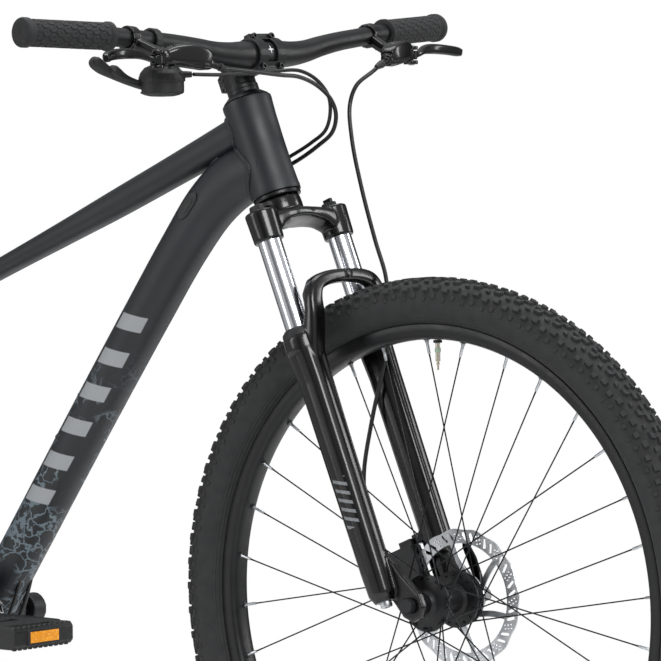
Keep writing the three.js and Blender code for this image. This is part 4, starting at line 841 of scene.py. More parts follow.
piece("forkFootBolts", "fork_lowers", brightSteel, footBolts)
piece("archBolt", "fork_lowers", blackSteel,
    [boltHead(onSteer(395, 65.6), steerForward, 3.4, 1.2)])

knobTeeth = [
    box(legAt(494.5, 1) + (left * math.cos(t) + steerForward * math.sin(t)) * 0.0082, (5.2, 1.3, 1.0),
        steerUp) for t in evenTurns(20)]
piece("preloadKnob", "preload_knob", nylon, [cadShape("preload_knob"), *knobTeeth],
    ["preload_knob"], voxel=0.4, soften=3)
piece("lockoutLever", "lockout_lever", nylon, [cadShape("lockout_lever")],
    ["lockout_lever"], voxel=0.45, soften=4)
dialCap = lathe([(0, 497.9), (7.4, 497.9), (7.8, 498.3), (7.4, 499.0), (0, 499.2)], legAt(0, -1), steerUp, 48)
piece("lockoutCap", "lockout_lever", blackAlloy, [dialCap], sharp=30)

piece("frontAxle", "fork_lowers", blackAlloy, [cadShape("front_axle")], ["front_axle"],
    bevel=0.5)
piece("quickReleaseLever", "quick_release", leverAlloy, [cadShape("front_qr_lever")],
    ["front_qr_lever"], voxel=0.7, soften=6)
nutGrip = [box(frontAxle + Vector((math.cos(t) * 0.0088, -0.0642, math.sin(t) * 0.0088)), (1.2, 6.4, 1.4),
        spokewise(t)) for t in evenTurns(18)]
piece("axleNutGrip", "fork_lowers", blackAlloy, nutGrip, bevel=0.2)
print("fork made")

# cockpit: butted bar in a forged stem, closed with a bolted faceplate
barClamp = onSteer(677, 42) * 1000
barPlace = {"rows": [(0, 0, 0, 15.9), (0, 32, 0, 15.9), (-0.6, 55, 0.4, 14.6), (-2.3, 82, 3, 13.2),
        (-4.8, 112, 8.3, 12.2), (-7.8, 150, 13.8, 11.4), (-11.3, 195, 18.3, 11.1), (-16.3, 248, 23.1, 11.1),
        (-33.5, 364, 28.4, 11.1)], "sides": 64}
halfBar = [(barClamp.x + x, barClamp.y + y, barClamp.z + z, radius, radius) for x, y, z,
    radius in barPlace["rows"]]
wholeBar = [(x, -y, z, w, h) for x, y, z, w, h in reversed(halfBar[1:])] + halfBar[1:]
piece("handlebar", "steering", blackAlloy,
    [sweep(wholeBar, barPlace["sides"], guide=steerForward, perSpan=10)], ["handlebar"], sharp=60)
gripInner = Vector(halfBar[-2][:3]) * 0.001
gripLine = (Vector(halfBar[-1][:3]) - Vector(halfBar[-2][:3])).normalized()


gripPlace = {"length": 129.8, "cellsRound": 10, "cellLength": 10.4, "raised": 1.35, "dimple": 0.7}


def gripShape():  # moulded cells between two flanges, worked on a fine grid round the bar
    count, rows = 192, 400
    length = gripPlace["length"]
    runs = np.linspace(0, length, rows)
    turns = evenTurns(count)
    base = np.interp(runs, [0, 0.6, 4.6, 5.6, 7, 7.6, 117.5, 119.5, 121, 127, 128.6, 129.8],
        [16.2, 17, 17, 16.4, 15.2, 14.5, 14.5, 15.4, 17.2, 17.2, 16.6, 15.2])
    runGrid, turnGrid = np.meshgrid(runs, turns, indexing="ij")
    around = turnGrid / (2 * math.pi) * gripPlace["cellsRound"]  # each cell is about 9.5 mm across
    lengthwise = runGrid / gripPlace["cellLength"]
    best = np.full(runGrid.shape, 9.0)
    second = np.full(runGrid.shape, 9.0)
    for di in range(-2, 3):
        row = np.floor(lengthwise) + di
        shift = (row % 2) * 0.5
        for dj in range(-2, 3):
            column = np.floor(around) + dj
            gapA = (around - column - shift) * 0.97
            gapL = (lengthwise - row) * 0.9
            far = np.hypot(gapA, gapL)
            closer = far < best
            second = np.where(closer, best, np.minimum(second, far))
            best = np.where(closer, far, best)
    wall = second - best
    raised = np.clip((wall - 0.1) / 0.12, 0, 1)
    dimple = np.clip((0.2 - best) / 0.08, 0, 1)
    zone = np.clip((runGrid - 9) / 1.5, 0, 1) * np.clip((116 - runGrid) / 1.5, 0, 1)
    radii = base[:, None] + zone * (raised * gripPlace["raised"] - dimple * gripPlace["dimple"])
    first, secondAxis = frameOf(gripLine)
    points = []
    for i in range(rows):
        centre = gripInner + gripLine * runs[i] * 0.001
        for k in range(count):
            points.append(tuple(centre
                    + (first * math.cos(turns[k]) + secondAxis * math.sin(turns[k])) * radii[i, k] * 0.001))
    faces = [
        (i * count + k, i * count + (k + 1) % count, (i + 1) * count + (k + 1) % count, (i + 1) * count + k)
        for i in range(rows - 1) for k in range(count)]
    inner = len(points)
    for i, radius in ((0, 11.3), (rows - 1, 11.0), (rows - 1, 3.2)):
        centre = gripInner + gripLine * runs[i] * 0.001
        points += [tuple(centre + (first * math.cos(t) + secondAxis * math.sin(t)) * radius * 0.001)
            for t in turns]
    last = (rows - 1) * count
    for k in range(count):
        n = (k + 1) % count
        faces += [(k, inner + k, inner + n, n), (last + k, last + n, inner + count + n, inner + count + k)]
        faces.append((inner + count + k, inner + count + n, inner + 2 * count + n, inner + 2 * count + k))
    dish = len(points)
    points.append(tuple(gripInner + gripLine * (length - 1.2) * 0.001))
    faces += [(inner + 2 * count + k, inner + 2 * count + (k + 1) % count, dish) for k in range(count)]
    return points, faces


leftGrip = gripShape()
piece("leftGrip", "steering", gripRubber, [leftGrip], ["grip_left"], sharp=50)
piece("rightGrip", "steering", gripRubber, [flipped(leftGrip)], ["grip_right"], sharp=50)

piece("stem", "steering", blackAlloy, [cadShape("stem")], ["stem"], voxel=0.8, soften=6)
piece("stemFaceplate", "steering", blackAlloy, [cadShape("stem_faceplate")],
    ["stem_faceplate"], voxel=0.6, soften=5)
faceBolts = [boltHead(onSteer(up, 50.6, y), steerForward, 4.1, 4.2) for up in (696, 658)
    for y in (-15.5, 15.5)]
lugBolts = [boltHead(onSteer(up, -19, -6), -left, 3.9, 3.8) for up in (657, 671)]
topBolt = boltHead(onSteer(696.2, 0), steerUp, 5.6, 2.6)
piece("stemBolts", "steering", blackSteel, [*faceBolts, *lugBolts, topBolt])
rings = [lathe([(14.4, low), (18.6, low), (18.9, low + 0.4), (18.9, low + 4.2), (18.6, low + 4.6),
            (14.4, low + 4.6), (14.4, low)], steerFoot, steerUp, 72) for low in (643.4, 648.2)]
piece("headsetSpacers", "steering", blackAlloy, rings, sharp=25)
crossPlace = barClamp * 0.001


def barMark(across, around):  # a thin printed bar on the clamp's surface, sizes in mm
    points, faces = [], []
    columns, rows = 6, 4
    for i in range(columns + 1):
        for j in range(rows + 1):
            y = (i / columns - 0.5) * across
            turn = ((j / rows - 0.5) * around) / 15.9
            direction = steerForward * math.cos(turn) + steerUp * math.sin(turn)
            points.append(crossPlace + direction * 0.0164 + left * y * 0.001)
    for i in range(columns):
        for j in range(rows):
            a = i * (rows + 1) + j
            faces.append((a, a + rows + 1, a + rows + 2, a + 1))
    return points, faces


# printed enamel: an even off-white film with a soft edge of gloss
whiteMark = finishOf("printedWhiteEnamel", "#d4d6d8", "#c9cbce", (0.35, 0.45), driftSize=12, grainSize=0.8,
    grainHeight=0.01)
marks = piece("barCentreMark", "steering", whiteMark, [barMark(8.6, 1.5), barMark(1.5, 8.6)])
thickness = marks.modifiers.new("printThickness", "SOLIDIFY")
thickness.thickness = 0.00006
thickness.offset = 1
print("cockpit made")

# brakes: cast master cylinders with forged blades; the right one mirrors the left
brakePlace = {"boot": [(3.4, -4), (4.6, -3.6), (4.9, -1.5), (4.2, -0.6), (4.5, 0.6), (3.9, 1.6), (4.2, 2.6),
        (3.6, 3.6), (3.9, 4.6), (3.3, 5.6), (3.5, 6.6), (3.0, 7.8), (2.7, 9.0), (0.5, 9.1), (0, 9.1)],
    "blade": [(351, 233, 992, 5.4, 4.8), (350.6, 240, 992.6, 4.4, 4.0), (350, 248, 994.4, 4.4, 3.8),
        (347.6, 257, 997.2, 4.8, 4.8), (344.6, 268, 998.6, 5.2, 5.8), (343, 285, 998.8, 5.3, 6.2),
        (346.6, 306, 997.2, 5.2, 6.0), (352.6, 318.5, 995, 4.8, 5.6), (355.8, 323, 993.8, 3.2, 4.0)],
    "lid": [(353, 219, 996, 9, 7), (357, 207, 997, 11.5, 11), (362, 190, 997, 12.2, 12),
        (367, 172, 994, 11, 10.5), (368.6, 164, 990, 8.8, 8)],}
hoseStart = spot(372.7, 145, 981.5)
for word, side in (("left", 1), ("right", -1)):
    place = flipped if side < 0 else (lambda shape: shape)
    lid = sweep(brakePlace["lid"], 32, 4.2, guide=Vector((1, 0, 0)))
    piece(f"{word}BrakeBody", "steering", glossBlack,
        [cadShape(f"brake_body_{word}"), place(lid)], [f"brake_body_{word}"], voxel=0.6, soften=14)
    screws = [boltHead(spot(357, 208, 1007.6), Vector((0, 0, 1)), 2.1, 1.4),
        boltHead(spot(365, 178, 1005.6), Vector((0, 0, 1)), 2.1, 1.4)]
    pivot = boltHead(spot(351, 231, 1002.4), Vector((0, 0, 1)), 3.6, 2.2)
    under = boltHead(spot(351, 231, 981.6), Vector((0, 0, -1)), 3.6, 1.8)
    clampBolt = boltHead(spot(309, 217, 1002.2), Vector((0.3, 0, -0.95)), 2.6, 4.0)
    piece(f"{word}BrakeScrews", "steering", brightSteel if side > 0 else blackSteel,
        [place(s) for s in (*screws, pivot, under, clampBolt)])
    boot = lathe([(0, -4), *brakePlace["boot"]], hoseStart, Vector((0, -1, -0.35)).normalized(), 40)
    piece(f"{word}HoseBoot", "steering", nylon, [place(boot)], sharp=60)
    hubShape = lathe([(0, -5.3), (6.6, -5.3), (7, -4.9), (7, 4.9), (6.6, 5.3), (0, 5.3)],
        spot(351, 231, 992), Vector((0, 0, 1)), 40)
    blade = sweep(brakePlace["blade"], 28, 2.7, guide=Vector((1, 0, 0)), perSpan=8)
    piece(f"{word}BrakeLever", f"{word}_brake_lever", leverAlloy,
        [place(hubShape), place(blade)], [f"brake_lever_{word}"], voxel=0.5, soften=5)
dial = [rod(spot(358, 214, 984.4), spot(358, 214, 981), 4.2, steps=20),
    rod(spot(358, -214, 984.4), spot(358, -214, 981), 4.2, steps=20)]
piece("reachDials", "steering", nylon, dial, bevel=0.3)

shifterPlace = {
    "thumb": [(301, -170, 957.2, 6.5, 2.2), (289, -181, 959, 6, 2.6), (279, -196, 965, 5.6, 3.2),
        (270, -214, 974, 6, 4.6), (263.6, -229, 983.5, 7.6, 7), (261, -237, 990, 6.8, 6.6),
        (260.2, -239.6, 993, 4, 4)],
    "trigger": [(301, -170, 962.8, 6.5, 2.0), (290, -179.5, 963.4, 6, 2.2), (283, -191, 966, 5.4, 2.8),
        (277, -204, 971, 5.8, 4.2), (273.4, -213, 976.6, 6.8, 6), (271.8, -218.4, 981, 6, 5.6),
        (271.2, -220.6, 983.4, 3.6, 3.4)],
    "adjuster": [(0, -2), (5.8, -2), (6.6, -1.2), (6.4, 4.4), (5.2, 7.2), (3.4, 9.4), (0, 9.4)],
    "coverRadius": 23.5,}
dome = lathe([(0, -12.1), (11, -11.7), (11.6, -11.2), (11.6, -10.6), (0, -10.6)], spot(303, -168, 974),
    Vector((0, 0, -1)), 64)
piece("shifterBody", "steering", nylon, [cadShape("shifter_body"), dome], ["shifter_body"],
    voxel=0.7, soften=5)
piece("shifterCapScrew", "steering", blackSteel,
    [boltHead(spot(303, -168, 985.8), Vector((0, 0, 1)), 4.4, 1.5),
        boltHead(spot(309, -182, 1003), Vector((0.3, 0, -0.95)), 2.4, 4)])
ribs = [box(spot(318, -168, 974) + (spot(333.4, -150.5, 974) - spot(318, -168, 974)).normalized() * 0.0065
        + (Vector((0, 0, 1)) * math.sin(t)
            + Vector((0.75, 0.66, 0)).normalized().cross(Vector((0, 0, 1))) * math.cos(t)) * 0.0063,
        (6, 0.9, 0.9), Vector((0.66, 0.75, 0))) for t in evenTurns(14)]
piece("shiftBarrelAdjuster", "steering", nylon,
    [lathe(shifterPlace["adjuster"], spot(320.6, -165, 974), Vector((0.66, 0.75, 0)), 40), *ribs], sharp=35)


def leverHub(level):
    return lathe([(0, -2.2), (8.1, -2.2), (8.5, -1.8), (8.5, 1.8), (8.1, 2.2), (0, 2.2)],
        spot(303, -168, level), Vector((0, 0, 1)), 40)


coverRadius = shifterPlace["coverRadius"]
coverRows = [(303 + coverRadius * math.cos(t), -168 + coverRadius * math.sin(t), 960.6, 8.2, 2.0)
    for t in np.linspace(-2.08, 0.9, 14)]
coverWall = sweep(coverRows, 24, 5.0, guide=Vector((0, 0, 1)), perSpan=3)
coverPlate = lathe(
    [(0, 948.6), (13, 949), (19.5, 950.4), (24.6, 952.6), (25.3, 953.6), (24.6, 954.4), (0, 954.4)],
    spot(303, -168, 0), Vector((0, 0, 1)), 72)
piece("shifterLowerCover", "steering", nylon, [coverPlate, coverWall], voxel=0.7, soften=5)
piece("shiftThumbLever", "thumb_lever", nylon,
    [leverHub(957.2), sweep(shifterPlace["thumb"], 28, 2.8, guide=Vector((1, 0, 0)), perSpan=8)],
    ["shift_thumb_lever"], voxel=0.5, soften=5)
piece("shiftTrigger", "trigger", nylon,
    [leverHub(962.8), sweep(shifterPlace["trigger"], 28, 2.8, guide=Vector((1, 0, 0)), perSpan=8)],
    ["shift_trigger"], voxel=0.5, soften=5)
print("controls made")

# wheels: a folded-bead tyre with moulded knobs on a tubeless-width aluminium rim, laced three-cross
# each knob is (how late in the pitch, how far out, size, height, skew)
wheelPlace = {"spokesPerSide": 16, "pitches": 78,
    "knobs": [(0.0, 4.9, (8.4, 6.0), 3.4, 1.6), (1.0, (5.6, 4.2), (6.4, 4.6), 3.2, -1.2),
        (0.55, 13.2, (7.6, 5.0), 3.5, 2.2), (1.45, 15.0, (5.8, 4.2), 3.4, -1.8),
        (0.1, 21.8, (8.2, 5.4), 3.8, 0), (1.05, 24.4, (6.8, 5.2), 3.6, 0), (0.2, 27.6, (4.6, 5.2), 1.6, 0),
        (1.1, 28.5, (3.8, 4.6), 1.3, 0),],
    "crown": [(0, 367.6), (8, 367.2), (14, 365.5), (20, 361.7), (25, 355.8), (28, 349.4), (29.3, 343)],
    "carcass": [(304, 12.2), (308, 12.6), (313, 12.2), (317.6, 12.4), (319, 14.6), (322, 19.6), (326, 24.3),
        (331, 27.3), (337, 29.0), (343, 29.3), (349.6, 28), (355.8, 25), (361.7, 20), (365.5, 14),
        (367.2, 8), (367.6, 0)],
    "liner": [(304, 9.4), (318, 9.4), (326, 18), (334, 24.2), (343, 26), (352, 24.4), (361, 17), (365.5, 8),
        (366, 0)],
    "rim": [(303.4, 12.6), (311, 12.7), (317, 12.8), (317.6, 13.4), (317.4, 14.6), (316, 15.1), (311, 15.0),
        (306.5, 14.7), (303.5, 13.8), (301.4, 11.4), (300.0, 8.2), (299.5, 4.0), (299.4, 0)],}


# an outline across the wheel from its left half, ending on the middle line
def bothSides(half, reverse=False):
    other = [(radius, -y) for radius, y in reversed(half[:-1])]
    whole = [*half, *other]
    return list(reversed(whole)) if reverse else whole


def wheelLathe(outline, centre, steps):
    return lathe(outline, centre, left, steps)


def knobBlock(centre, turn, across, size, height, skew=0.0):  # one rubber block standing on the carcass
    table = wheelPlace["crown"]
    ys, radii = zip(*table)
    radius = float(np.interp(abs(across), ys, radii))
    slope = (np.interp(abs(across) + 0.5, ys, radii) - np.interp(max(abs(across) - 0.5, 0), ys, radii)) / 1.0
    sign = 1 if across >= 0 else -1
    radial = spokewise(turn)
    tangent = Vector((-math.sin(turn), 0, math.cos(turn)))
    normal = (radial + left * sign * (-slope)).normalized()
    side = tangent.cross(normal).normalized()
    base = centre + radial * radius * 0.001 + left * across * 0.001
    points = []
    for level, grow in ((-1.6, 1.12), (height * 0.75, 1.0), (height, 0.86)):
        for sx, sy in ((-0.5, -0.5), (0.5, -0.5), (0.5, 0.5), (-0.5, 0.5)):
            points.append(base
                + (tangent * (sx * size[0] + sy * skew) * grow + side * sy * size[1] * grow
                    + normal * level) * 0.001)
    faces = [(3, 2, 1, 0), (8, 9, 10, 11)]
    for low in (0, 4):
        for k in range(4):
            n = (k + 1) % 4
            faces.append((low + k, low + n, low + 4 + n, low + 4 + k))
    return points, faces


def treadOf(centre):  # ramped centre pairs, staggered middle blocks and square shoulder blocks
    blocks = []
    for i in range(wheelPlace["pitches"]):
        turn = 2 * math.pi * i / wheelPlace["pitches"]
        half = math.pi / wheelPlace["pitches"]
        odd = i % 2
        for sign in (1, -1):
            for late, across, size, height, skew in wheelPlace["knobs"]:
                across = across[odd] if isinstance(across, tuple) else across
                blocks.append(knobBlock(centre, turn + half * late, sign * across, size, height, sign * skew))
    return blocks


def spokePlaces(centre, side, flangeY):  # each spoke's head and rim end, and the turn at the rim
    count = wheelPlace["spokesPerSide"]
    phase = math.radians(90 - 1.28 + 5.625) + (0 if side > 0 else math.pi / count)
    for i in range(count):
        rimTurn = phase + 2 * math.pi * i / count
        lean = (1 if i % 2 else -1) * 6 * math.pi / count
        head = centre + Vector((math.cos(rimTurn + lean) * 0.029, (flangeY + side * 4.9) * 0.001,
                math.sin(rimTurn + lean) * 0.029))
        end = centre + Vector((math.cos(rimTurn) * 0.296, side * 0.004, math.sin(rimTurn) * 0.296))
        yield i, head, end, rimTurn


# laser-cut: wavy outside, six swept arms, slots and triple holes in the braking band
def rotorShape(centre, y):
    outline = [
        ((79.4 + 0.9 * math.sin(15 * t)) * math.cos(t), (79.4 + 0.9 * math.sin(15 * t)) * math.sin(t))
        for t in evenTurns(288)]
    holes = [circle(0, 0, 22.2, 48)]
    for arm in range(6):  # bolt holes on the inner ring
        turn = math.pi / 3 * arm + 0.35
        holes.append(circle(26.2 * math.cos(turn + 0.52), 26.2 * math.sin(turn + 0.52), 2.2, 16))
        edges = []
        for which, offset in ((0, 3.3), (1, -3.3)):
            start = turn + which * math.pi / 3
            a = np.array([27.0 * math.cos(start), 27.0 * math.sin(start)])
            b = np.array([66 * math.cos(start + 0.42), 66 * math.sin(start + 0.42)])
            run = (b - a) / np.linalg.norm(b - a)
            normal = np.array([-run[1], run[0]])
            bow = [a + (b - a) * s + normal * (offset + 2.2 * math.sin(math.pi * s))
                for s in np.linspace(0, 1, 40)]
            edges.append([p for p in bow if 30.6 < np.hypot(*p) < 63.2])
        firstEdge, secondEdge = edges
        low0, low1 = (
            math.atan2(firstEdge[0][1], firstEdge[0][0]), math.atan2(secondEdge[0][1], secondEdge[0][0])
        )
        high0, high1 = (
            math.atan2(firstEdge[-1][1], firstEdge[-1][0]), math.atan2(secondEdge[-1][1], secondEdge[-1][0])
        )
        low1 += 2 * math.pi if low1 < low0 else 0
        high1 += 2 * math.pi if high1 < high0 else 0
        loop = [tuple(p) for p in firstEdge]
        loop += [(63.4 * math.cos(t), 63.4 * math.sin(t)) for t in np.linspace(high0, high1, 14)]
        loop += [tuple(p) for p in reversed(secondEdge)]
        loop += [(30.4 * math.cos(t), 30.4 * math.sin(t)) for t in np.linspace(low1, low0, 10)]
        holes.append(loop)
    for i in range(45):
        turn = 2 * math.pi * i / 45
        radial = np.array([math.cos(turn), math.sin(turn)])
        tangent = np.array([-radial[1], radial[0]])
        lean = radial * math.cos(0.55) + tangent * math.sin(0.55)
        across = np.array([-lean[1], lean[0]])
        middle = radial * 71.3
        if i % 3 == 0:
            for step in (-4.4, 0, 4.4):
                for shift in (-2.1, 2.1):
                    holes.append(circle(*(middle + lean * step + across * shift), 1.25, 12))
        else:
            ends = [(math.cos(t), math.sin(t)) for t in np.linspace(-math.pi / 2, math.pi / 2, 7)]
            slotLoop = [tuple(middle + lean * (4.1 + 1.9 * c) + across * 1.9 * s) for c, s in ends]
            slotLoop += [tuple(middle - lean * (4.1 + 1.9 * c) - across * 1.9 * s) for c, s in ends]
            holes.append(slotLoop)
    return cutPlate(outline, holes, 1.8, sidePlace(centre, y), 0.18)


def makeWheel(word, centre, flanges, ends, rotorY, bore):
    wheel = f"{word}_wheel"
    rightFlange, leftFlange = flanges
    tyreOutline = [*bothSides(wheelPlace["carcass"]), *bothSides(wheelPlace["liner"], True)]
    tyreOutline.append(tyreOutline[0])
    piece(f"{word}Tyre", wheel, tyreRubber, [wheelLathe(tyreOutline, centre, 288)],
        [f"{word}_tyre"], sharp=50)
    piece(f"{word}TyreKnobs", wheel, tyreRubber, treadOf(centre), sharp=30)
    rimOutline = [*bothSides(wheelPlace["rim"])]
    rimOutline.append(rimOutline[0])
    piece(f"{word}Rim", wheel, rimAlloy, [wheelLathe(rimOutline, centre, 288)],
        [f"{word}_rim"], sharp=40)
    hub = [(bore, ends[0]), (12, ends[0]), (12.4, ends[0] + 0.5), (12.4, rightFlange - 7),
        (15, rightFlange - 4), (17.5, rightFlange - 2.6), (31.6, rightFlange - 1.7),
        (33, rightFlange - 1.0), (33, rightFlange + 1.0), (31.6, rightFlange + 1.7),
        (19, rightFlange + 3.2), (15.4, rightFlange + 6), (13.8, rightFlange + 11),
        (13.4, (rightFlange + leftFlange) / 2), (13.8, leftFlange - 11), (15.4, leftFlange - 6),
        (19, leftFlange - 3.2), (31.6, leftFlange - 1.7), (33, leftFlange - 1.0), (33, leftFlange + 1.0),
        (31.6, leftFlange + 1.7), (24.6, leftFlange + 2.8), (24, rotorY - 1.6), (23.4, rotorY - 1.2),
        (21.7, rotorY - 1.1), (21.7, rotorY + 1.5), (20.8, rotorY + 2.2), (13.5, rotorY + 2.4),
        (12.4, rotorY + 3.2), (12, ends[1]), (bore, ends[1]), (bore, ends[0]),]
    piece(f"{word}Hub", wheel, blackAlloy, [wheelLathe(hub, centre, 96)], [f"{word}_hub"],
        sharp=30)
    eyelets, heads, spokes, nipples = [], [], {1: [], -1: []}, []
    for side, flangeY in ((1, leftFlange), (-1, rightFlange)):
        for i, head, end, rimTurn in spokePlaces(centre, side, flangeY):
            run = (end - head).normalized()
            turn = math.atan2(head.z - centre.z, head.x - centre.x)
            hole = centre + Vector((math.cos(turn) * 0.029, flangeY * 0.001, math.sin(turn) * 0.029))
            elbow = hole + left * side * 0.0036
            path = [hole - left * side * 0.0028, hole + left * side * 0.0012, elbow + run * 0.0012,
                head + run * 0.009, head + run * 0.02]
            stations = [(*(p * 1000), 1.0, 1.0) for p in path]
            spokes[side].append(sweep(stations, 10, guide=None, perSpan=4))
            start = head + run * 0.0195
            total = (end - start).length * 1000
            spokes[side].append(lathe(
                    [(0, 0), (1.0, 0), (0.86, 16), (0.86, total - 24), (1.0, total - 16), (1.0, total + 2),
                        (0, total + 2)], start, run, 10))
            heads.append(lathe([(0, -1.9), (1.2, -1.8), (1.9, -1.2), (1.9, -0.6), (0, -0.5)],
                    hole - left * side * 0.0016, left * side, 14))
            nipples.append(lathe(
                    [(0, -13.6), (1.15, -13.4), (1.7, -12.4), (1.75, -1), (2.3, 0.6), (2.3, 4.5), (0, 4.5)],
                    end, run, 8))
            eyelets.append(
                lathe([(1.9, 2.2), (3.6, 2.6), (3.9, 3.3), (3.9, 4.4), (1.9, 4.4), (1.9, 2.2)], end,
                    (end - centre).normalized() * 0.6 + run * 0.4, 18))
    piece(f"{word}LeftSpokes", wheel, spokeSteel, spokes[1], [f"{word}_spokes_left"], sharp=50)
    piece(f"{word}RightSpokes", wheel, spokeSteel, spokes[-1], [f"{word}_spokes_right"],
        sharp=50)
    piece(f"{word}SpokeHeads", wheel, spokeSteel, heads, sharp=50)
    piece(f"{word}Nipples", wheel, brightSteel, nipples, sharp=40)
    piece(f"{word}Eyelets", wheel, blackAlloy, eyelets, sharp=30)
    piece(f"{word}Rotor", wheel, rotorSteel, [rotorShape(centre, rotorY)],
        [f"{word}_rotor"], sharp=25)
    bolts = []
    for arm in range(6):
        turn = math.pi / 3 * arm + 0.35 + 0.52
        at = centre + Vector((math.cos(turn) * 0.0262, (rotorY + 0.9) * 0.001, math.sin(turn) * 0.0262))
        bolts.append(boltHead(at, left, 3.5, 1.7))
    piece(f"{word}RotorBolts", wheel, blackSteel, bolts)
    valveTurn = math.radians(90 + 0.75)
    valveUp = spokewise(valveTurn)
    foot = centre + valveUp * 0.2995
    stem = lathe([(0, -35), (1.1, -35), (1.2, -34.4), (1.2, -29), (2.1, -28.6), (2.1, -27.2), (1.5, -26.8),
            (1.5, -25.6), (2.7, -25.2), (2.7, 2), (0, 2)], foot, valveUp, 20)
    piece(f"{word}Valve", wheel, brass, [stem], sharp=30)
    ringNut = lathe(
        [(2.75, -4.2), (4.8, -4.0), (5.2, -3.4), (5.2, -1.4), (4.6, -0.8), (2.75, -0.8), (2.75, -4.2)],
        foot, valveUp, 24)
    cap = lathe(
        [(2.75, -15.0), (3.3, -14.8), (3.5, -14.2), (3.5, -10.4), (3.3, -9.9), (2.75, -9.8), (2.75, -15.0)],
        foot, valveUp, 24)
    piece(f"{word}ValveRing", wheel, blackSteel, [ringNut], sharp=30)
    piece(f"{word}ValveBand", wheel, greenPlastic, [cap], sharp=30)


# satin anodised rim: fine turning lines round the wheel
rimAlloy = finishOf("satinAnodisedRim", "#0c0d0f", "#121315", (0.32, 0.44), metallic=0.3, driftSize=30,
    grainSize=0.6, grainHeight=0.012, wear=("#2f3134", 0.25))
# black stainless spokes: drawn wire, slightly shiny
spokeSteel = finishOf("blackStainlessWire", "#1d1e20", "#28292b", (0.26, 0.36), metallic=0.85, driftSize=10,
    grainSize=0.3, grainHeight=0.004)
# rotor steel: ground flat, pads leave rings round it
rotorSteel = finishOf("groundRotorSteel", "#c6c8ca", "#b4b7ba", (0.3, 0.4), metallic=1.0, driftSize=14,
    grainSize=1.2, grainHeight=0.0015)
makeWheel("front", frontAxle, (-28.5, 25.5), (-50, 50), 39.5, 5)
makeWheel("rear", rearAxle, (-20.5, 34), (-27, 62.9), 52, 6.9)
print("wheels made")

# disc brake calipers: cast bodies with bolts, a banjo and finned pads
for word, body, centre, upward, outward, faceY in (
    ("front", "fork_lowers", onSteer(55, -12), steerUp, -steerForward, 56),
    ("rear", "frame", rearAxle + spokewise(math.radians(20)) * 0.084,
     Vector((-math.sin(math.radians(20)), 0, math.cos(math.radians(20)))), spokewise(math.radians(20)), 60),
):
    middleY = faceY * 0.001
    piece(f"{word}Caliper", body, blackAlloy, [cadShape(f"{word}_brake_caliper")],
        [f"{word}_brake_caliper"], voxel=0.8, soften=5)
    piston = lathe([(0, 0.3), (8.4, 0.3), (9.2, -0.2), (9.2, -1.2), (0, -1.2)],
        Vector((centre.x, middleY + 0.0002, centre.z)), left, 48)
    capScrews = [boltHead(
            Vector((centre.x, middleY - 0.0004, centre.z)) + upward * up * 0.001 + outward * out * 0.001,
            left, 2.7, 1.8) for up, out in ((18, 12), (-18, 12), (18, -10), (-18, -10))]
    piece(f"{word}CaliperPistonCap", body, leverAlloy, [piston], sharp=25)
    piece(f"{word}CaliperScrews", body, blackSteel, capScrews)
    fins = [box(Vector((centre.x, (faceY - 15) * 0.001, centre.z)) + outward * 0.0215 + upward * u * 0.001,
            (5, 12, 1.4), outward) for u in (-8, -4, 0, 4, 8)]
    piece(f"{word}PadFins", body, brightSteel, fins, bevel=0.2)
print("calipers made")

# drivetrain: forged cranks, a narrow-wide ring, a pinned roller chain and a pyramid of stamped cogs
drive = {"pitch": 12.7, "chainLine": -50.45, "ringTeeth": 32, "cogTeeth": 18, "pulleyTeeth": 11}
guideCentre = spot(-560, drive["chainLine"], 301)
tensionCentre = spot(-532, drive["chainLine"], 226)


# a chain wheel with round gullets
def toothed(teeth, holes, thickness, centre, y, toothTall=5.0, edge=0.15, phase=0.0):
    pitchRadius = drive["pitch"] / (2 * math.sin(math.pi / teeth))
    outline = []
    for i in range(teeth):
        for part, reach in ((0.0, -3.6), (0.08, -3.5), (0.17, -2.6), (0.27, -0.6), (0.38, 1.9), (0.44, 2.5),
                (0.5, 2.6), (0.56, 2.5), (0.62, 1.9), (0.73, -0.6), (0.83, -2.6), (0.92, -3.5)):
            turn = 2 * math.pi * (i + part) / teeth + phase
            radius = pitchRadius + reach * toothTall / 5.0
            outline.append((radius * math.cos(turn), radius * math.sin(turn)))
    return cutPlate(outline, holes, thickness, sidePlace(centre, y), edge)


def chainRoute():  # the pitch line round the four wheels, as x and z in metres
    wheels = [(bottomBracket, drive["ringTeeth"], 1), (tensionCentre, drive["pulleyTeeth"], 1),
        (guideCentre, drive["pulleyTeeth"], -1), (rearAxle, drive["cogTeeth"], 1)]
    wheels = [(c.x * 1000, c.z * 1000, drive["pitch"] / (2 * math.sin(math.pi / n)), s) for c, n, s in wheels]
    normals = []
    for i, a in enumerate(wheels):
        b = wheels[(i + 1) % 4]
        length = math.hypot(b[0] - a[0], b[1] - a[1])
        dx, dz = (b[0] - a[0]) / length, (b[1] - a[1]) / length
        lean = (a[3] * a[2] - b[3] * b[2]) / length
        flat = math.sqrt(1 - lean * lean)
        normals.append((lean * dx - flat * dz, lean * dz + flat * dx))
    route = []
    for i, (x, z, radius, sense) in enumerate(wheels):
        arrive, leave = normals[i - 1], normals[i]
        start = math.atan2(sense * arrive[1], sense * arrive[0])
        turn = math.atan2(sense * leave[1], sense * leave[0]) - start
        while sense > 0 and turn > 0:
            turn -= 2 * math.pi
        while sense < 0 and turn < 0:
            turn += 2 * math.pi
        steps = max(2, math.ceil(abs(turn) / 0.04))
        route += [(x + radius * math.cos(start + turn * k / steps),
                z + radius * math.sin(start + turn * k / steps)) for k in range(steps + 1)]
    route.append(route[0])
    return np.array(route)


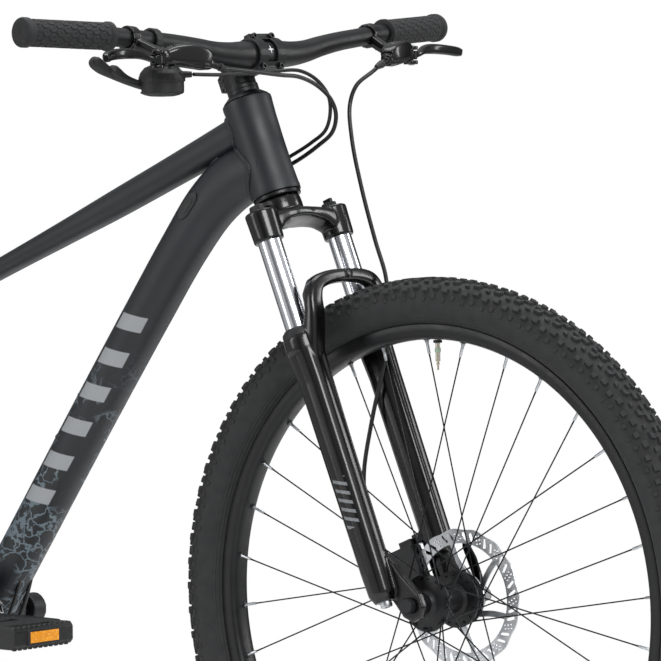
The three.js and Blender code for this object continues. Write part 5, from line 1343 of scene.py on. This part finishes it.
route = chainRoute()
travel = np.concatenate([[0], np.cumsum(np.linalg.norm(np.diff(route, axis=0), axis=1))])
linkCount = int(round(travel[-1] / drive["pitch"] / 2)) * 2
pins = np.linspace(0, travel[-1], linkCount, endpoint=False)
pinX, pinZ = np.interp(pins, travel, route[:, 0]), np.interp(pins, travel, route[:, 1])
plates, rollers = [], []
for i in range(linkCount):
    a = Vector((pinX[i], 0, pinZ[i])) * 0.001
    b = Vector((pinX[(i + 1) % linkCount], 0, pinZ[(i + 1) % linkCount])) * 0.001
    run = (b - a).normalized()
    side = Vector((-run.z, 0, run.x))
    half = (b - a).length * 500
    outline = []
    for t in np.linspace(-math.pi / 2, math.pi / 2, 8):
        outline.append((half + 3.9 * math.cos(t), 3.9 * math.sin(t)))
    outline += [(half * 0.5, 3.3), (0, 2.9), (-half * 0.5, 3.3)]
    for t in np.linspace(math.pi / 2, 3 * math.pi / 2, 8):
        outline.append((-half + 3.9 * math.cos(t), 3.9 * math.sin(t)))
    outline += [(-half * 0.5, -3.3), (0, -2.9), (half * 0.5, -3.3)]
    middle = (a + b) / 2
    inner = i % 2
    for sign in (1, -1):
        offset = drive["chainLine"] + sign * (1.6 if inner else 2.55)
        points, faces = [], []
        for level in (-0.42, 0.42):
            points += [middle + run * x * 0.001 + side * z * 0.001 + left * (offset + level) * 0.001 for x,
                z in outline]
        n = len(outline)
        faces += [tuple(range(n)), tuple(reversed(range(n, 2 * n)))]
        faces += [(k, (k + 1) % n, n + (k + 1) % n, n + k) for k in range(n)]
        plates.append((points, faces))
    rollers.append(
        rod(a + left * (drive["chainLine"] - 3.2) * 0.001, a + left * (drive["chainLine"] + 3.2) * 0.001,
            1.8, steps=10))
    rollers.append(
        rod(a + left * (drive["chainLine"] - 1.1) * 0.001, a + left * (drive["chainLine"] + 1.1) * 0.001,
            3.8, steps=14))
# nickelled chain steel: grey and a little oily between bright wear marks
chainSteel = finishOf("nickelledChainSteel", "#7f8286", "#5d5b57", (0.24, 0.4), metallic=1.0, driftSize=5,
    grainSize=0.4, grainHeight=0.01)
chain = piece("chain", "frame", chainSteel, [*plates, *rollers], ["chain"], sharp=30,
    rides=False)
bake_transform(chain)

ringShape = toothed(32, [circle(0, 0, 45.8, 72)], 2.4, bottomBracket, drive["chainLine"])
tabs = [box(bottomBracket + spokewise(t) * 0.047 + left * drive["chainLine"] * 0.001, (14, 2.4, 16),
        spokewise(t)) for t in [math.pi / 4 + math.pi / 2 * i for i in range(4)]]
piece("chainring", "crank", blackAlloy, [ringShape, *tabs], ["chainring"], sharp=25)
ringBolts = [boltHead(bottomBracket + spokewise(t) * 0.047 + left * -0.0575, -left, 4.6, 1.6)
    for t in [math.pi / 4 + math.pi / 2 * i for i in range(4)]]
piece("chainringBolts", "crank", blackSteel, ringBolts)
pedalPlace = {"crankLength": 0.175, "bodyMiddle": 0.144, "reflector": (1.4, 50, 13.5), "prismColumns": 24,
    "prismRows": 6}
for word, side in (("right", -1), ("left", 1)):
    piece(f"{word}Crank", "crank", blackAlloy, [cadShape(f"crank_arm_{word}")],
        [f"crank_arm_{word}"], voxel=1.2, soften=8)
    cap = lathe([(0, 0), (9.5, 0), (10.2, 0.5), (10.2, 1.8), (9.4, 2.4), (5.2, 2.4), (4.8, 0.8), (0, 0.8)],
        bottomBracket + left * side * 0.0835, left * side, 48)
    piece(f"{word}CrankCap", "crank", blackSteel, [cap], sharp=25)
    cupRings = lathe(
        [(10, 36.6), (21.6, 36.6), (22.2, 37.2), (22.2, 41.6), (20.8, 43.6), (12, 44), (10, 44),
            (10, 36.6)], bottomBracket, left * side, 64)
    piece(f"{word}BearingCup", "frame", blackAlloy, [cupRings], sharp=25)
    end = bottomBracket + Vector((-side * pedalPlace["crankLength"], 0, 0))
    pedalShapes = [cadShape(f"pedal_{word}")]
    studs = []
    for x in (-44.5, 44.5):
        for out in range(101, 193, 9):
            studs.append(box(end + spot(x * 0.955, 0, 13.2) + left * side * out * 0.001, (3.2, 5, 2.2),
                    Vector((1, 0, 0))))
            studs.append(box(end + spot(x * 0.955, 0, -13.2) + left * side * out * 0.001, (3.2, 5, 2.2),
                    Vector((1, 0, 0))))
    piece(f"{word}Pedal", f"{word}_pedal", nylon, [*pedalShapes, *studs],
        [f"pedal_{word}"], voxel=0.9, soften=3)
    reflectors = []
    frames = []
    for facing in (1, -1):
        middle = end + Vector((facing * 0.0467, side * pedalPlace["bodyMiddle"], 0))
        frames.append(box(middle - Vector((facing * 0.0006, 0, 0)), (2.6, 58, 19), Vector((facing, 0, 0)),
                taper=0.97))
        reflectors.append(
            box(middle + Vector((facing * 0.0008, 0, 0)), pedalPlace["reflector"], Vector((facing, 0, 0)),
                taper=0.96))
        for column in range(pedalPlace["prismColumns"]):
            for line in range(pedalPlace["prismRows"]):
                reflectors.append(lathe([(0.92, 0), (0, 0.5)],
                        middle + Vector(
                            (facing * 0.0014, (column - 11.5) * 0.00202, (line - 2.5) * 0.0021)),
                        Vector((facing, 0, 0)), 6))
    piece(f"{word}PedalFrames", f"{word}_pedal", nylon, frames, bevel=0.5)
    piece(f"{word}PedalReflectors", f"{word}_pedal", amberReflector, reflectors, sharp=20)
print("cranks and pedals made")

cassettePlace = {
    "teeth": [11, 13, 15, 18, 21, 24, 28, 32, 36, 41],
    "faces": [-62.6, -59.4, -56.1, -50.45, -46.9, -43.6, -40.3, -37.0, -33.7, -29.6],
    "thickness": 1.9,
    "armsFrom": 45,
}
cogs = []
for count, y in zip(cassettePlace["teeth"], cassettePlace["faces"]):
    pitchRadius = drive["pitch"] / (2 * math.sin(math.pi / count))
    holes = [circle(0, 0, min(16.6, pitchRadius * 0.7), 40)]
    if pitchRadius > cassettePlace["armsFrom"]:
        for arm in range(6):
            middleTurn = math.pi / 3 * arm
            inside, outside = 27, pitchRadius - 12
            sweepHalf = 0.34
            loop = [(outside * math.cos(t), outside * math.sin(t))
                for t in np.linspace(middleTurn - sweepHalf, middleTurn + sweepHalf, 10)]
            loop += [(inside * math.cos(t), inside * math.sin(t))
                for t in np.linspace(middleTurn + sweepHalf * 0.8, middleTurn - sweepHalf * 0.8, 8)]
            holes.append(loop)
    cogs.append(toothed(count, holes, cassettePlace["thickness"], rearAxle, y, 4.6, 0.15, 0.3 * count))
piece("cassetteCogs", "cassette", brightSteel, cogs, ["cassette"], sharp=25)
carrier = lathe(
    [(16.4, -64.2), (21.4, -64.2), (22, -63.6), (22, -61.6), (19.5, -61), (19.5, -34), (25, -32),
        (25, -28.6), (16.4, -28.6), (16.4, -64.2)], rearAxle, left, 64)
piece("cassetteCarrier", "cassette", blackAlloy, [carrier], sharp=25)

piece("derailleurBody", "frame", blackAlloy, [cadShape("derailleur_body")],
    ["derailleur_body"], voxel=0.9, soften=7)
piece("derailleurPivotBolt", "frame", blackSteel,
    [boltHead(spot(-583, -91.8, 345), -left, 6.5, 1.6), boltHead(spot(-560, -91.8, 301), -left, 5.5, 1.4)])
piece("derailleurCage", "derailleur_cage", blackAlloy, [cadShape("derailleur_cage")],
    ["derailleur_cage"], bevel=0.25)
for word, at in (("guide", guideCentre), ("tension", tensionCentre)):
    holes = [circle(0, 0, 2.9, 20),
        *[circle(9.4 * math.cos(t), 9.4 * math.sin(t), 2.6, 16) for t in evenTurns(5)]]
    piece(f"{word}Pulley", f"{word}_pulley", nylon,
        [toothed(11, holes, 2.6, at, drive["chainLine"], 4.4, 0.2)], [f"{word}_pulley"], sharp=30)
    piece(f"{word}PulleyBolt", "derailleur_cage", blackSteel,
        [boltHead(at.copy() + left * -0.0056, -left, 4.6, 1.4)])
piece("rearAxle", "frame", blackAlloy, [cadShape("rear_axle")], ["rear_axle"], bevel=0.5)
print("drivetrain made")

# seat: aluminium post, chromoly rails and a padded shell
seatPlace = {"railZ": onSeatTube(620).z * 1000 + 14, "swell": 4.0, "voxel": 5.0, "pressure": 4,
    "clothSteps": 20}
seatPlace["pad"] = [(-178, 10, 10), (-184, 19, 18), (-215, 23, 25), (-260, 30, 29), (-305, 46, 31),
    (-350, 64, 34), (-400, 72, 37), (-435, 68, 37), (-452, 50, 30)]
piece("seatPost", "seat", blackAlloy,
    [cadShape("seat_post"),
        lathe([(13, 262), (15.5, 262), (15.8, 262.5), (15.8, 600), (13, 600), (13, 262)], bottomBracket,
            seatUp, 72)], ["seat_post"], voxel=1.1, soften=5)
piece("seatPostBolts", "seat", blackSteel,
    [boltHead(onSeatTube(620) + spot(x, 0, 19.2), Vector((0, 0, 1)), 3.6, 2.4) for x in (-17, 17)])
railHalf = [(-432, 34, 9), (-400, 27, 6), (-375, 22, 0), (-345, 22, 0), (-315, 22, 0), (-285, 22, 0),
    (-260, 22, 0), (-228, 17, 6), (-205, 8, 12)]
railPath = [(x, y, seatPlace["railZ"] + z, 3.5, 3.5) for x, y, z in railHalf]
railPath = [*railPath, (-201, 0, seatPlace["railZ"] + 12.4, 3.5, 3.5),
    *[(x, -y, z, w, h) for x, y, z, w, h in reversed(railPath)]]
piece("saddleRails", "seat", brightSteel, [sweep(railPath, 24, guide=None, perSpan=8)],
    ["saddle_rails"], sharp=60)
base = seatPlace["railZ"] + 16.5


def saddlePad():  # a shade smaller than its solid, so that the swelling fills it out
    rows = smoothRoute([(x, 0, 0, wide - 1.5, tall - 2.0) for x, wide, tall in seatPlace["pad"]], 5)
    points, faces = [], []
    for x, _, _, wide, tall in rows:
        channel = 3.2 * np.clip((-x - 215) / 60, 0, 1) * np.clip((452 + x) / 30, 0, 1)
        section = [(-wide * 0.82, 1), (-wide * 0.97, tall * 0.2), (-wide, tall * 0.42),
            (-wide * 0.93, tall * 0.72), (-wide * 0.72, tall * 0.92), (-wide * 0.42, tall),
            (-wide * 0.16, tall * 0.99 - channel * 0.4), (0, tall * 0.98 - channel)]
        section += [(-y, z) for y, z in reversed(section[:-1])]
        points += [Vector((x, y, base + z)) * 0.001 for y, z in section]
    n = 15
    total = len(rows)
    for i in range(total - 1):
        faces += [(i * n + k, i * n + (k + 1) % n, (i + 1) * n + (k + 1) % n, (i + 1) * n + k)
            for k in range(n)]
    faces += [tuple(range(n)), tuple(reversed(range((total - 1) * n, total * n)))]
    return points, faces


def swollen(obj, cap):  # air pressure fills the cover, and no point moves further than the cap
    before = np.array([v.co for v in obj.data.vertices])
    cloth = obj.modifiers.new("padding", "CLOTH")
    cloth.settings.use_pressure = True
    cloth.settings.uniform_pressure_force = seatPlace["pressure"]
    cloth.settings.effector_weights.gravity = 0
    cloth.settings.quality = 6
    for step in range(1, seatPlace["clothSteps"] + 1):
        scene.frame_set(step)
    applyModifiers(obj)
    scene.frame_set(1)
    after = np.array([v.co for v in obj.data.vertices])
    move = after - before
    far = np.linalg.norm(move, axis=1, keepdims=True)
    capped = before + move * np.minimum(1, cap * 0.001 / np.maximum(far, 1e-9))
    capped[:, 2] = np.maximum(capped[:, 2], (base + 0.6) * 0.001)
    obj.data.vertices.foreach_set("co", capped.astype(np.float32).ravel())
    obj.data.update()


saddle = piece("saddlePad", "seat", saddleVinyl, [saddlePad()], ["saddle"],
    voxel=seatPlace["voxel"], soften=2)
swollen(saddle, seatPlace["swell"])
saddle.data.materials.clear()
saddle.data.materials.append(saddleVinyl["material"])
shadeSmooth(saddle.data, 180)
fine = saddle.modifiers.new("fine", "SUBSURF")
fine.levels = 1
fine.render_levels = 1
seamLine = [(x, -(wide + 0.6), base + tall * 0.34, 1.0, 1.0) for x, wide, tall in seatPlace["pad"]]
seamLine = [*seamLine, *[(x, -y, z, w, h) for x, y, z, w, h in reversed(seamLine)]]
piece("saddlePiping", "seat", saddleVinyl, [sweep(seamLine, 12, guide=None, perSpan=8)],
    sharp=60)
shell = sweep([(x, 0, base + 2.6, wide * 0.86, 2.2) for x, wide, tall in seatPlace["pad"]], 40, 4.0,
    perSpan=6)
piece("saddleShell", "seat", nylon, [shell], sharp=60)
print("seat made")

# small trim: a rubber plug and a hose guide in the down tube's ports
plugRun = (spot(234, 0, 820) - spot(190, 0, 768)).normalized()
plugOutline = [(13 * math.cos(t) + (6 if math.cos(t) > 0 else -6), 6.4 * math.sin(t)) for t in evenTurns(40)]


def trimPlace(at, run, out):
    side = out.cross(run).normalized()
    return lambda x, z, depth: at + (run * x + side * z + out * depth) * 0.001


plug = cutPlate(plugOutline, [], 2.6, trimPlace(spot(219, -28.3, 818), plugRun, -left), 0.6)
plugIn = cutPlate([(x * 0.62, z * 0.5) for x, z in plugOutline], [], 1.2,
    trimPlace(spot(219, -29.7, 818), plugRun, -left), 0.3)
piece("cablePortPlug", "frame", nylon, [plug, plugIn], sharp=25)
guide = cutPlate(plugOutline, [], 2.6, trimPlace(spot(228, 27.6, 828), plugRun, left), 0.6)
piece("cablePortGuide", "frame", nylon, [guide], sharp=25)

floorMesh = bpy.data.meshes.new("floor")
floorShape = lathe([(0, 0), (studio["floorRadius"], 0)], Vector((0, 0, -0.0004)), Vector((0, 0, 1)), 128)
floorMesh.from_pydata([tuple(p) for p in floorShape[0]], [], floorShape[1])
floor = bpy.data.objects.new("floor", floorMesh)
scene.collection.objects.link(floor)
# painted studio floor: pale and matt, with a faint roller texture
paleFloor = finishOf("paintedStudioFloor", "#f1f1f1", "#ebebeb", (0.7, 0.8), driftSize=400, grainSize=4,
    grainHeight=0.02)
floorMesh.materials.append(paleFloor["material"])
for name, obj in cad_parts.items():
    if not obj.hide_render:
        print("still plain:", name)
